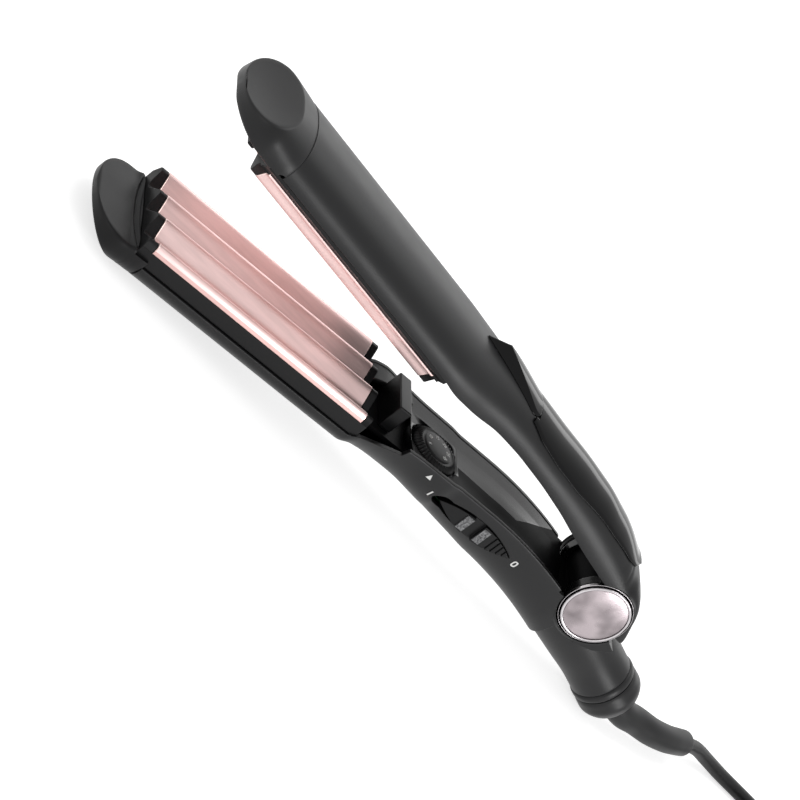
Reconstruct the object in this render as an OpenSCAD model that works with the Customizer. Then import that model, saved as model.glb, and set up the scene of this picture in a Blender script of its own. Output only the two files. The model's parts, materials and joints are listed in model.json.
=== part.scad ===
// Hair waver: two hinged arms, each with a ribbed wave plate, a sprung hinge, a dial, a slide
// switch and a swivelling cord.  Each arm is drawn with its plate level, X running from the
// plate's centre to the tail, and the whole tool is then tilted to lie on the table.

/* [Wave plates] */
// Length of each heated plate
plate_len = 110; // [90:1:130]
// Distance from one wave crest to the next
wave_pitch = 14.8; // [12:0.1:17]
// Depth of the wave
wave_depth = 5.8; // [4:0.1:6.4]
// Width of the flat on each crest
crest_flat = 1.6; // [0.8:0.1:2.6]
// Metal left under each valley
plate_base = 1.8; // [1.2:0.1:3]
// Gap between the waves when the tool is closed
plates_gap = 0.6; // [0.4:0.1:1.2]
// How far the near edge of the lower plate lies under its crests
edge_drop = 2.4; // [1:0.1:3]
// Height of the plate's side above its holder
plate_side_h = 6.3; // [5.8:0.1:7]

/* [Heaters] */
// Length of the heating element
heater_len = 84; // [60:1:88]
// Width of the heating element
heater_w = 16; // [10:1:24]
// Thickness of the heating element
heater_t = 2.4; // [1.6:0.1:2.6]
// Thickness of the clamp bar behind it
clamp_t = 1.4; // [1:0.1:1.6]
// Thickness of the silicone cushions
cushion_t = 1.3; // [1:0.1:1.6]

/* [Housings] */
// Wall of the housings
wall = 2; // [1.6:0.1:2.4]
// Width over the plates
head_w = 49; // [48:0.5:54]
// Width of the handles
handle_w = 35; // [33:0.5:38]
// Lower housing: rim below the crests
low_rim_drop = 13.5; // [13:0.1:15]
// Lower housing: back below the crests
low_back_drop = 24; // [23:0.1:28]
// Lower handle: rim below the crests
low_grip_rim = 4.7; // [4:0.1:6]
// Lower handle: depth at the neck
neck_depth = 19.6; // [19:0.1:22]
// Lower handle: depth in the hand
grip_depth = 26.5; // [25.5:0.1:29]
// Radius in which the lower handle bends down
handle_bend_r = 190; // [185:1:240]
// Upper housing: rim above the lower crests when closed
up_rim = 6; // [5:0.1:7]
// Upper housing: back above the lower crests when closed
up_back = 21.3; // [21:0.1:25]
// Upper handle: depth in the hand
up_grip_depth = 14.2; // [14:0.1:17]

/* [Tips] */
// Length of the tip caps beyond the housings
tip_len = 30.5; // [28:0.5:36]
// How far the lower tip ends short of the upper one
tip_setback = 2; // [0:0.1:3]
// Slope of the flat finger pad on each tip
facet_angle = 28; // [24:1:34]
// Height of the lower tip's pad below the crests
low_pad_drop = 9; // [8.6:0.1:10]
// Thickness of the blunt nose
nose_t = 3.2; // [2.4:0.1:4]

/* [Hinge] */
// Distance from the plate's end to the hinge axis
hinge_reach = 138.6; // [134:0.1:144]
// Drop of the hinge axis below the crests
hinge_drop = 9.7; // [8.5:0.1:10]
// Angle between the arms at rest
open_angle = 10.8; // [6:0.1:12]
// Diameter of the hinge pin
pin_d = 5; // [4:0.1:6]
// Diameter of the hinge barrel
barrel_d = 24.4; // [20:0.1:25]
// Width of the hinge barrel
barrel_w = 21; // [18:0.5:21.5]
// Thickness of each hinge ear
ear_t = 3.8; // [3:0.1:4]
// Diameter of the chrome caps
cap_d = 29.4; // [27:0.1:29.6]
// Height of the dome of the caps
cap_dome = 1.6; // [1:0.1:2.2]
// Radial clearance of the pin
pin_fit = 0.05; // [0.03:0.01:0.08]
// Side clearance between moving faces
side_gap = 0.3; // [0.2:0.05:0.5]
// Wire of the torsion spring
spring_wire = 1.8; // [1.2:0.1:2]

/* [Tail and swivel] */
// Slope of the tail barrel
tail_angle = 21; // [18:1:24]
// Diameter of the tail barrel
tail_d = 26.6; // [25:0.1:28]
// Distance along the tail from the hinge to the swivel seam
tail_reach = 44.2; // [43:0.5:50]
// Diameter of the swivel
swivel_d = 27.6; // [27:0.1:29]
// Length of the swivel
swivel_len = 12.5; // [12:0.5:16]

/* [Controls] */
// Diameter of the temperature dial
dial_d = 23.2; // [20:0.1:23.6]
// Thickness of the temperature dial
dial_t = 4.4; // [4:0.1:5]
// Number of grip teeth on the dial
dial_teeth = 44; // [36:2:56]
// Distance from the plate's end to the dial's axis
dial_reach = 40.2; // [39:0.1:42]
// Diameter of the dial's shaft
shaft_d = 6; // [5:0.1:6.4]
// Length of the leaf-shaped switch opening
switch_len = 45; // [42:0.5:47]
// Height of the leaf-shaped switch opening
switch_h = 11; // [10:0.1:12]
// Travel of the switch
switch_travel = 4; // [3:0.1:5]
// Distance from the dial's axis to the middle of the switch opening
switch_reach = 30.8; // [29.8:0.1:33]
// Height of the guide post above the recess floor
post_h = 12.7; // [11:0.1:12.9]
// Width of the guide post
post_w = 22.2; // [18:0.1:24]
// Thickness of the guide post
post_t = 6.2; // [5:0.1:7]

/* [Cord] */
// Diameter of the cord
cord_d = 6.4; // [6:0.1:7]
// Diameter of the strain relief at its root
sleeve_d = 13; // [12:0.1:13.4]
// Diameter of a plug pin
plug_pin_d = 4; // [3.8:0.1:4.8]
// Free length of a plug pin
plug_pin_len = 19; // [17:0.5:20]
// Distance between the plug pins
plug_pin_gap = 18.6; // [17:0.1:19.4]

/* [Hidden] */
$fn = 48;

far = 400;
seat = 0.1;
body_gap = 0.3;
satin = [0.13, 0.13, 0.135];
gloss = [0.04, 0.04, 0.045];
rose = [0.86, 0.66, 0.63];
steel = [0.72, 0.73, 0.75];
chrome = [0.85, 0.85, 0.87];

// ---- places along the arm
head_x0 = -plate_len / 2 + 1.6;
tip_wall = 4.6;
tail_wall = 3;
plate_end = plate_len / 2 + 0.3;
holder_tip = -plate_end - tip_wall;
holder_tail = plate_end + tail_wall;
nose_x = head_x0 - tip_len;
hinge_x = plate_len / 2 + hinge_reach;
hinge_z = -hinge_drop;
dial_x = plate_len / 2 + dial_reach;
switch_x = dial_x + switch_reach;
pit_r = dial_d / 2 + 1;
post_x = plate_len / 2 + 15.2;
recess_x0 = holder_tail + 0.4;
recess_x1 = dial_x - pit_r - body_gap;
bend_x = hinge_x - 68;
grip_full_x = hinge_x - 58;
head_hw = head_w / 2;
grip_hw = handle_w / 2;

// ---- the stack of parts behind the lower plate, as heights
plate_bottom = -(wave_depth + plate_base);
heater_z = plate_bottom - seat;
clamp_z = heater_z - heater_t - seat;
cushion_z = clamp_z - clamp_t - seat;
tray_z = cushion_z - cushion_t - seat;
tray_t = 1.8;
holder_hw = head_hw - 1.1;
plate_hw = 1.5 * wave_pitch + crest_flat / 2 + 0.4;
base_hw = plate_hw - 2;
low_rim = -low_rim_drop;
low_back = -low_back_drop;
low_pad = -low_pad_drop;
skirt_x = holder_tip - 0.3;
nose_bulge = 0.6;
nose_round = 1.6;
up_pad_nose = up_rim + 0.6;

// ---- arm lines: heights and half widths along X
function bend(x) = pow(max(0, x - bend_x), 2) / (2 * handle_bend_r);
function lower_rim(x) = lookup(x, [
    [plate_len / 2 + 1, low_rim], [plate_len / 2 + 7, -low_grip_rim - 1.5],
    [plate_len / 2 + 13, -low_grip_rim + 0.5], [dial_x, -low_grip_rim + 0.3],
    [bend_x, -low_grip_rim]]) - bend(x);
function lower_back(x) = x < plate_len / 2 + 14
    ? lookup(x, [[-plate_len / 2, low_back], [plate_len / 2 + 14, low_back + 0.6]])
    : lower_rim(x) - lookup(x, [[plate_len / 2 + 14, -low_grip_rim + 0.45 - low_back - 0.6],
        [recess_x1 + 8, neck_depth + 0.6], [grip_full_x, grip_depth]]);
function lower_hw(x) = lookup(x, [
    [plate_len / 2 + 1, head_hw], [plate_len / 2 + 11, head_hw - 1.3],
    [plate_len / 2 + 23, grip_hw + 2.9], [dial_x - 7, grip_hw + 1.5],
    [dial_x + dial_d / 2 - 1, grip_hw + 1.1], [dial_x + dial_d / 2 + 2, grip_hw],
    [hinge_x - 13, grip_hw], [hinge_x, grip_hw - 1]]);
function upper_rim(x) = lookup(x, [
    [plate_len / 2 + 1, up_rim], [plate_len / 2 + 9, up_rim - 1.4],
    [plate_len / 2 + 25, up_rim - 1.2], [plate_len / 2 + 37, up_rim + 0.6],
    [hinge_x - 86, up_rim + 1.2], [hinge_x - 68, up_rim + 0.8], [hinge_x - 51, up_rim - 0.6],
    [hinge_x - 43, up_rim - 1.9], [hinge_x - 28, up_rim - 3.6], [hinge_x - 11, up_rim - 5]]);
function upper_back(x) = lookup(x, [
    [plate_len / 2 + 35, up_back + 0.2], [hinge_x - 88, up_rim + 1.2 + up_grip_depth],
    [hinge_x - 71, up_rim + 0.7 + up_grip_depth], [hinge_x - 53, up_rim + 0.8 + up_grip_depth],
    [hinge_x - 35, up_rim + up_grip_depth], [hinge_x - 18, up_rim - 2.6 + up_grip_depth],
    [hinge_x - 10, up_rim - 4.8 + up_grip_depth], [hinge_x - 3, up_rim - 7.4 + up_grip_depth]]);
function upper_hw(x) = lookup(x, [
    [plate_len / 2 + 3, head_hw], [plate_len / 2 + 13, head_hw - 1.5],
    [plate_len / 2 + 25, grip_hw + 2.7], [plate_len / 2 + 37, grip_hw + 0.5],
    [hinge_x - 88, grip_hw - 0.2]]);

// ---- cross sections, as closed lists of [y, z]
arc_steps = 10;
lower_power = 2.5;
upper_power = 2.3;
function bow(v, p) = sign(v) * pow(abs(v), 2 / p);
function shell_arc(hw, rim, back, p) = [for (i = [0:arc_steps])
    let (a = 180 * i / arc_steps)
    [-hw * bow(cos(a), p), rim + (back - rim) * bow(sin(a), p)]];
function reversed(list) = [for (i = [len(list) - 1:-1:0]) list[i]];
function u_section(hw, rim, back, t, p) = concat(
    shell_arc(hw, rim, back, p),
    reversed(shell_arc(hw - t, rim, back + sign(rim - back) * t, p)));
function at_x(x, section) = [for (q = section) [x, q[0], q[1]]];

// ---- a skin over rings of points, wound so that its faces point outwards
// An end cap is a ladder of rungs, each from one point to its partner across the ring.
function ladder(n, base) = concat(
    [for (j = [0:floor(n / 2) - 2]) [base + j, base + j + 1, base + n - 2 - j, base + n - 1 - j]],
    n % 2 == 0 ? [] : [[base + (n - 3) / 2, base + (n - 1) / 2, base + (n + 1) / 2]]);
function skin_faces(m, n, flip) =
    let (sides = [for (i = [0:m - 2]) for (j = [0:n - 1])
            let (a = i * n + j, b = i * n + (j + 1) % n, c = b + n, d = a + n)
            each [[a, b, c], [a, c, d]]],
        all = concat(sides, [for (f = ladder(n, 0)) reversed(f)], ladder(n, (m - 1) * n)))
    flip ? all : [for (f = all) reversed(f)];
module skin(rings, flip = false) {
    polyhedron(points = [for (r = rings) each r],
        faces = skin_faces(len(rings), len(rings[0]), flip), convexity = 8);
}

// ---- frames
tail_dir = [cos(tail_angle), 0, -sin(tail_angle)];
tail_start = [hinge_x, 0, hinge_z - 15.7];
seam_point = tail_start + tail_reach * tail_dir;
module on_tail() { translate(seam_point) rotate([0, 90 + tail_angle, 0]) children(); }
bulge = seam_point + swivel_len / 2 * tail_dir
    + swivel_d / 2 * [-sin(tail_angle), 0, -cos(tail_angle)];
rest_point = [skirt_x, 0, low_back];
rest_tilt = atan2(rest_point[2] - bulge[2], bulge[0] - rest_point[0]);
function to_row(p) = [
    p[0] * cos(rest_tilt) - p[2] * sin(rest_tilt), p[1],
    p[0] * sin(rest_tilt) + p[2] * cos(rest_tilt)];
row_lift = -to_row(rest_point)[2];
// The tool's two ends, which set where its middle lies.
swivel_face_r = swivel_d / 2 - 4.9;
tail_end = seam_point + swivel_len * tail_dir
    + swivel_face_r * [sin(tail_angle), 0, cos(tail_angle)];
function opened(p) = let (x = p[0] - hinge_x, z = p[2] - hinge_z)
    [hinge_x + x * cos(open_angle) + z * sin(open_angle), p[1],
        hinge_z - x * sin(open_angle) + z * cos(open_angle)];
tip_end = opened([nose_x, 0, up_pad_nose + nose_round * 0.8]);
row_shift = -(to_row(tip_end)[0] + to_row(tail_end)[0]) / 2;
function in_row(p) = to_row(p) + [row_shift, 0, row_lift];
module lower_arm() {
    translate([row_shift, 0, row_lift]) rotate([0, -rest_tilt, 0]) children();
}
module upper_arm() {
    lower_arm() translate([hinge_x, 0, hinge_z]) rotate([0, open_angle, 0])
        translate([-hinge_x, 0, -hinge_z]) children();
}
module y_cyl(r, y0, y1) { translate([0, y0, 0]) rotate([-90, 0, 0]) cylinder(r = r, h = y1 - y0); }
module at_hinge() { translate([hinge_x, 0, hinge_z]) children(); }
module block(x0, x1, y0, y1, z0, z1) {
    translate([x0, y0, z0]) cube([x1 - x0, y1 - y0, z1 - z0]);
}
module xz_prism(points, y0, y1) {
    translate([0, y1, 0]) rotate([90, 0, 0]) linear_extrude(y1 - y0) polygon(points);
}

// ---- wave profile, as a list of [y, z] from the near edge to the far edge
round_r = 1.1;
slope_run = wave_pitch / 2 - crest_flat;
// One rounded corner: chord points of a blend between two straight stretches.
function corner(p, d0, d1) = [for (t = [0, 0.25, 0.5, 0.75, 1])
    p + round_r * (pow(1 - t, 2) * d0 + pow(t, 2) * d1)];
slope_dir = [slope_run, wave_depth] / norm([slope_run, wave_depth]);
function crest(y, z) = concat(
    corner([y - crest_flat / 2, z], -slope_dir, [crest_flat / 2 / round_r, 0]),
    corner([y + crest_flat / 2, z], [-crest_flat / 2 / round_r, 0] * 0.5,
        [slope_dir[0], -slope_dir[1]]));
function valley_up(y, z) = [for (q = crest(y, -z)) [q[0], -q[1]]];

function lower_wave() = concat(
    [[-plate_hw + 0.9, -edge_drop - 0.9], [-plate_hw + 1.5, -edge_drop - 0.2],
        [-plate_hw + 2.3, -edge_drop]],
    valley_up(-wave_pitch, -wave_depth), crest(-wave_pitch / 2, 0), valley_up(0, -wave_depth),
    crest(wave_pitch / 2, 0), valley_up(wave_pitch, -wave_depth),
    [[1.5 * wave_pitch - crest_flat / 2 - 0.6, -0.5], [1.5 * wave_pitch - crest_flat / 2, 0],
        [plate_hw - 0.6, 0], [plate_hw, -0.6]]);
function lower_plate_profile() = concat(
    lower_wave(),
    [[plate_hw, -plate_side_h], [base_hw, -plate_side_h], [base_hw, plate_bottom],
        [-base_hw, plate_bottom], [-base_hw, -plate_side_h], [-plate_hw + 0.6, -plate_side_h]]);

// The upper plate's waves hang into the lower plate's valleys when closed.
up_crest = plates_gap - wave_depth;
up_valley = plates_gap;
up_edge = wave_pitch + crest_flat / 2 + 2.1;
up_plate_side = up_valley + 1;
up_plate_back = up_valley + plate_base;
up_plate_hw = up_edge + 2.2;
up_base_hw = up_plate_hw - 1.4;
function first_half(list) = [for (i = [0:len(list) / 2 - 1]) list[i]];
function last_half(list) = [for (i = [len(list) / 2:len(list) - 1]) list[i]];
function upper_wave() = concat(
    [[-up_plate_hw, up_plate_side - 1], [-up_edge, up_valley - 0.4],
        [-wave_pitch - crest_flat / 2 - 0.5, up_crest + 0.7],
        [-wave_pitch - crest_flat / 2, up_crest]],
    last_half(valley_up(-wave_pitch, up_crest)), crest(-wave_pitch / 2, up_valley),
    valley_up(0, up_crest), crest(wave_pitch / 2, up_valley),
    first_half(valley_up(wave_pitch, up_crest)),
    [[wave_pitch + crest_flat / 2, up_crest], [wave_pitch + crest_flat / 2 + 0.5, up_crest + 0.7],
        [up_edge, up_valley - 0.4], [up_plate_hw, up_plate_side - 1]]);
function upper_plate_profile() = concat(upper_wave(),
    [[up_plate_hw, up_plate_side], [up_base_hw, up_plate_side], [up_base_hw, up_plate_back],
        [-up_base_hw, up_plate_back], [-up_base_hw, up_plate_side],
        [-up_plate_hw, up_plate_side]]);

module along_x(x0, x1) {
    translate([x0, 0, 0]) rotate([90, 0, 90]) linear_extrude(x1 - x0) children();
}

// ---- tubes swept along a path
function unit(v) = v / norm(v);
function tube_rings(path, radii, sides, up) = [for (i = [0:len(path) - 1])
    let (t = unit(path[min(i + 1, len(path) - 1)] - path[max(i - 1, 0)]),
        u = unit(cross(up, t)), v = cross(t, u))
    [for (k = [0:sides - 1]) path[i] + radii[i] * (cos(360 * k / sides) * u
        + sin(360 * k / sides) * v)]];
function same(r, path) = [for (q = path) r];
module tube(path, r, sides = 8, up = [0, 0, 1]) {
    skin(tube_rings(path, same(r, path), sides, up));
}

// ---- lower arm shells
lower_stop = hinge_x - 6;
function stations(x0, x1, n) = [for (i = [0:n]) x0 + (x1 - x0) * i / n];
function lower_u(x, t) = at_x(x, u_section(lower_hw(x), lower_rim(x), lower_back(x), t, lower_power));
function upper_u(x, t) = at_x(x, u_section(upper_hw(x), upper_rim(x), upper_back(x), t, upper_power));
lower_stations = concat(stations(head_x0, plate_len / 2 + 1, 4),
    stations(plate_len / 2 + 5, dial_x + dial_d / 2 - 1, 8),
    stations(dial_x + dial_d / 2 + 2, lower_stop, 12));
upper_stations = concat(stations(head_x0, plate_len / 2 + 3, 4),
    stations(plate_len / 2 + 8, hinge_x - 35, 13), stations(hinge_x - 28, hinge_x, 5));

// The hinge housing: a round boss with a hollow for the ears and the caps.
hollow_r = cap_d / 2 + 0.6;
low_boss_r = hollow_r + 3.2;
up_boss_r = hollow_r + 1.9;
boss_hw = grip_hw - 0.3;
module low_boss() {
    at_hinge() {
        y_cyl(low_boss_r, -boss_hw, boss_hw);
        xz_prism([[12, -4.9], [19.9, -8.7], [19.3, -10.4], [13.3, -14.5], [5, -17.3], [0, -10]],
            -boss_hw + 0.1, boss_hw - 0.1);
    }
}
low_split = [[-19, -2.8], [10, -4.3], [24, -9.6], [24, 40], [-19, 40]];
up_split = [[-24, 10.3], [0, 10.3], [0, 0], [24, -0.6], [24, -40], [-24, -40]];

// The tail barrel widens towards the handle.
tail_r = tail_d / 2;
tail_root = tail_reach + 6;
collar_len = 4;
flange_back = -collar_len - body_gap - 3.6;
sleeve_r = sleeve_d / 2;
tail_mouth = -collar_len - seat;
function tail_line(inset) = [[grip_hw - 0.5 - inset, -tail_root],
    [grip_hw - 1.4 - inset, -tail_reach + 4], [tail_r + 1.2 - inset, -tail_reach + 17],
    [tail_r + 0.1 - inset, -tail_reach + 29], [tail_r - inset, tail_mouth]];
module tail_barrel() {
    on_tail() rotate_extrude() polygon(concat([[0, -tail_root]], tail_line(0), [[0, tail_mouth]]));
}
module tail_bore() {
    mouth_r = grip_hw - 5;
    on_tail() rotate_extrude() polygon(concat([[0, -tail_root - 12], [mouth_r, -tail_root - 12],
        [mouth_r, -tail_root]], tail_line(wall), [[tail_r - wall, 0], [0, 0]]));
}
module leaf(length, height, y0, y1) {
    leaf_r = (length * length + height * height) / (4 * height);
    intersection() {
        translate([0, 0, leaf_r - height / 2]) y_cyl(leaf_r, y0, y1);
        translate([0, 0, height / 2 - leaf_r]) y_cyl(leaf_r, y0, y1);
    }
}
switch_z = -14.9;
screw_r = 1.4;
screw_len = 8;
head_r = 2.8;
head_h = 1.1;
holder_screw_xs = [-plate_len / 2 + 17, plate_len / 2 - 17];
low_screw_xs = concat(holder_screw_xs, [hinge_x - 31.6]);
module low_screw_places() {
    for (x = low_screw_xs) translate([x, 0, lower_back(x)]) children();
}
recess_rim = low_rim + 2.7;
module lower_shell() {
    color(satin) lower_arm() difference() {
        union() {
            skin([for (x = lower_stations) lower_u(x, wall)]);
            low_boss();
            tail_barrel();
        }
        at_hinge() y_cyl(hollow_r, -far, far);
        at_hinge() xz_prism(low_split, -far, far);
        tail_bore();
        block(hinge_x - low_boss_r - 1, hinge_x - 8, -boss_hw + wall, boss_hw - wall,
            hinge_z - 9.5, far);
        translate([switch_x, 0, switch_z]) leaf(switch_len, switch_h, -far, -6);
        xz_prism([[plate_len / 2 + 1.5, low_rim + 0.4], [plate_len / 2 + 4, recess_rim - 0.8],
            [plate_len / 2 + 8, recess_rim], [recess_x1 - 3, recess_rim + 2.8],
            [recess_x1 - 1.8, -low_grip_rim + 0.5], [recess_x1 - 1.4, 0],
            [plate_len / 2 + 1.5, 0]], -far, -8);
        low_screw_places() {
            translate([0, 0, -1]) cylinder(r = head_r + 0.2, h = 2.1);
            cylinder(r = screw_r + 0.2, h = 4);
        }
    }
}

// Tip caps: a skirt round the holder's end and a solid nose cut by a flat slanted pad.
nose_power = 2.1;
low_tip_power = 3;
bank_rise = 2.7;
low_nose_x = nose_x + tip_setback;
function nose_run(nose) = skirt_x - 6 - nose;
function nose_hw(x, nose) = (head_hw + nose_bulge) * pow(1 - pow(max(0,
    (nose + nose_run(nose) - x) / nose_run(nose)), nose_power), 1 / nose_power);
function nose_stations(nose) = concat([skirt_x, skirt_x - 2.5, skirt_x - 4.5],
    [for (a = [0:12:72]) nose + nose_run(nose) * (1 - sin(a))],
    [for (d = [0.8, 0.35, 0.03]) nose + d]);

// One section of a nose: a flat pad, a rounded edge, the side wall and the slanted cut.
function nose_section(x, nose, pad, back, cut, p) =
    let (down = sign(back - pad), hw = nose_hw(x, nose), r = min(nose_round, hw * 0.4),
        tip = max(0, 1 - (x - nose) / nose_round),
        top = pad + down * 0.8 * nose_round * (1 - sqrt(1 - tip * tip)), rim = top + down * r,
        share = min(0.9995, max(0.02, (cut - rim) / (back - rim))), last = asin(pow(share, p / 2)),
        side = concat([[hw - r, top], [hw - 0.3 * r, top + down * 0.3 * r]],
            [for (k = [0:7]) let (a = last * k / 7)
                [hw * bow(cos(a), p), rim + (back - rim) * bow(sin(a), p)]]))
    at_x(x, concat([for (q = side) [-q[0], q[1]]], reversed(side)));
function low_pad_at(x) = lookup(x, [[skirt_x - 7, low_pad], [skirt_x - 3.5, low_pad + bank_rise]]);
function low_cut(x) = low_pad - nose_t - (x - low_nose_x) * tan(facet_angle);
up_pad_front = up_rim - 1.6;
function up_pad_at(x) = lookup(x, [[nose_x, up_pad_nose], [skirt_x, up_pad_front]]);
function up_cut(x) = up_pad_nose + nose_t + (x - nose_x) * tan(facet_angle);
skirt_end = head_x0 - seat;
skirt_stations = [skirt_end, head_x0 - 4];
skirt_hw = head_hw + nose_bulge;
// The hollow of a skirt, open towards the plates, which lies on the side of z.
function skirt_hollow(rim, back, z, p) = concat([[-skirt_hw + wall, z]],
    shell_arc(skirt_hw - wall, rim, back + sign(rim - back) * wall, p), [[skirt_hw - wall, z]]);
module lower_tip_cap() {
    rim = low_pad - 1.2;
    color(satin) lower_arm() difference() {
        skin([for (x = concat(skirt_stations, nose_stations(low_nose_x))) nose_section(x,
            low_nose_x, low_pad_at(x), low_back, low_cut(x), low_tip_power)], true);
        skin([for (x = [skirt_end + 1, skirt_x]) at_x(x, skirt_hollow(rim, low_back, 0,
            low_tip_power))], true);
        block(skirt_x, 0, -far, far, rim, far);
        block(skirt_x, 0, -holder_hw - body_gap, holder_hw + body_gap, low_rim + 0.4 - seat, far);
    }
}
module upper_tip_cap() {
    rim = up_pad_front + 1.2;
    color(satin) upper_arm() difference() {
        skin([for (x = concat(skirt_stations, nose_stations(nose_x))) nose_section(x, nose_x,
            up_pad_at(x), up_back, up_cut(x), upper_power)]);
        skin([for (x = [skirt_end + 1, skirt_x]) at_x(x, skirt_hollow(rim, up_back, 0,
            upper_power))]);
        block(skirt_x, 0, -far, far, -far, rim);
    }
}

// ---- inner covers: slabs between the rims, hollowed a little along the middle
cover_t = 2;
cover_hollow = 1.2;
cover_fit = 0.3;
function dished(hw, z, dip) = [[-hw, z], [-hw * 0.55, z - dip * 0.8], [0, z - dip],
    [hw * 0.55, z - dip * 0.8], [hw, z]];
function slab(x, hw, z, t, dip) = at_x(x, concat(dished(hw, z, dip),
    reversed(dished(hw - 0.3, z - t, dip))));
function low_slab(x) = slab(x, lower_hw(x) - wall - cover_fit, lower_rim(x) - body_gap, cover_t,
    cover_hollow);
function up_slab(x) = slab(x, upper_hw(x) - wall - cover_fit, upper_rim(x) + body_gap, -cover_t,
    -cover_hollow);
cover_stop = hinge_x - 16.5;
barrel_r = barrel_d / 2;
pin_r = pin_d / 2;
coil_turns = 4;
coil_r = pin_r + spring_wire / 2 + 2.7;
coil_pitch = spring_wire + 0.35;
coil_len = coil_turns * coil_pitch;
spring_room = coil_r + spring_wire / 2 + body_gap + 0.2;
post_top = 3.5;
floor_z = post_top - post_h;
dial_y = -5;
dial_top = -low_grip_rim + 1.7;
dial_bottom = dial_top - dial_t;
pit_floor = dial_bottom - body_gap;
module dial_place() { translate([dial_x, dial_y, 0]) children(); }
module lower_inner_cover() {
    step_top = lower_rim(recess_x1) - body_gap - cover_hollow - 0.2;
    color(satin) lower_arm() difference() {
        union() {
            skin([for (x = concat(stations(recess_x1, dial_x + dial_d / 2 - 1, 3),
                stations(dial_x + dial_d / 2 + 2, cover_stop, 8))) low_slab(x)], true);
            xz_prism([[recess_x0, floor_z - cover_t], [recess_x1 + cover_t + 0.2, floor_z - cover_t],
                [recess_x1 + cover_t + 0.2, step_top], [recess_x1 + 0.2, step_top],
                [recess_x1 + 0.2, floor_z], [recess_x0, floor_z]],
                -grip_hw + wall + 0.6, grip_hw - wall - 0.6);
            dial_place() translate([0, 0, pit_floor - 1.4])
                intersection() {
                    cylinder(r = pit_r + 1.4, h = lower_rim(dial_x) - 0.4 - pit_floor);
                    translate([-far, -grip_hw + wall + 0.7 - dial_y, 0]) cube(2 * far);
                }
            at_hinge() y_cyl(barrel_r, -barrel_w / 2, barrel_w / 2);
            block(cover_stop - 4, hinge_x - 8, -barrel_w / 2 + 1, barrel_w / 2 - 1,
                hinge_z - 9, lower_rim(cover_stop) - body_gap - cover_t);
            translate([low_screw_xs[2], 0, lower_back(low_screw_xs[2]) + wall + 0.8])
                cylinder(r = 3.2, h = grip_depth - wall - 3.1);
        }
        dial_place() translate([0, 0, pit_floor]) cylinder(r = pit_r, h = far);
        dial_place() translate([0, 0, -30]) cylinder(r = shaft_d / 2 + body_gap, h = 30);
        at_hinge() {
            y_cyl(pin_r + pin_fit, -far, far);
            y_cyl(spring_room, -coil_len / 2 - 1.6, coil_len / 2 + 1.6);
            block(coil_r - spring_wire / 2 - body_gap, coil_r + spring_wire / 2 + body_gap,
                coil_len / 2 - 0.4 - spring_wire / 2, coil_len / 2 + 1.6, 0, far);
        }
        translate([low_screw_xs[2], 0, lower_back(low_screw_xs[2])])
            cylinder(r = screw_r + 0.05, h = screw_len + 4);
    }
}
module upper_inner_cover() {
    ear_y = barrel_w / 2 + side_gap;
    color(satin) upper_arm() difference() {
        union() {
            skin([for (x = concat(stations(recess_x0, plate_len / 2 + 37, 4),
                stations(hinge_x - 86, cover_stop + 1.5, 8))) up_slab(x)]);
            for (side = [0, 1]) mirror([0, side, 0]) {
                at_hinge() y_cyl(hollow_r - 1, ear_y, ear_y + ear_t);
                at_hinge() xz_prism([[-21.5, 12.6], [-21.5, 11.7], [-11, 9.1], [-4, 9.1],
                    [-4, 12.6]], ear_y + 0.2, ear_y + ear_t - 0.2);
            }
        }
        at_hinge() y_cyl(pin_r + pin_fit, -far, far);
        for (x = up_screw_xs) translate([x, 0, 0]) {
            cylinder(r = head_r + 0.2, h = up_head_z(x) + head_h + 0.02);
            cylinder(r = screw_r + 0.2, h = 30);
        }
    }
}
up_screw_xs = [plate_len / 2 + 43, hinge_x - 47];
function up_head_z(x) = upper_rim(x) + body_gap + cover_hollow - 0.1;
function up_boss_z(x) = upper_rim(x) + body_gap * 4 + cover_t + cover_hollow;
module upper_shell() {
    color(satin) upper_arm() difference() {
        union() {
            skin([for (x = upper_stations) upper_u(x, wall)], true);
            at_hinge() y_cyl(up_boss_r, -boss_hw, boss_hw);
            at_hinge() xz_prism([[-3, 21.9], [0, 20.9], [4.1, 19], [8.6, 15.9], [12.3, 12],
                [15, 8.5], [17.6, 5.2], [21.4, -0.5], [15, -0.5], [0, 0]],
                -boss_hw - 0.1, boss_hw + 0.1);
            for (x = up_screw_xs) translate([x, 0, up_boss_z(x)])
                cylinder(r = 2.8, h = upper_back(x) - up_boss_z(x) - 0.6);
        }
        at_hinge() y_cyl(hollow_r, -far, far);
        at_hinge() xz_prism(up_split, -far, far);
        block(hinge_x - up_boss_r - 1, hinge_x - 8, -boss_hw + wall, boss_hw - wall, -far,
            upper_rim(cover_stop) + cover_t + cover_hollow + 3 * body_gap);
        for (x = up_screw_xs) translate([x, 0, 0])
            cylinder(r = screw_r + 0.05, h = up_head_z(x) + screw_len + 0.4);
    }
}

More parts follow.
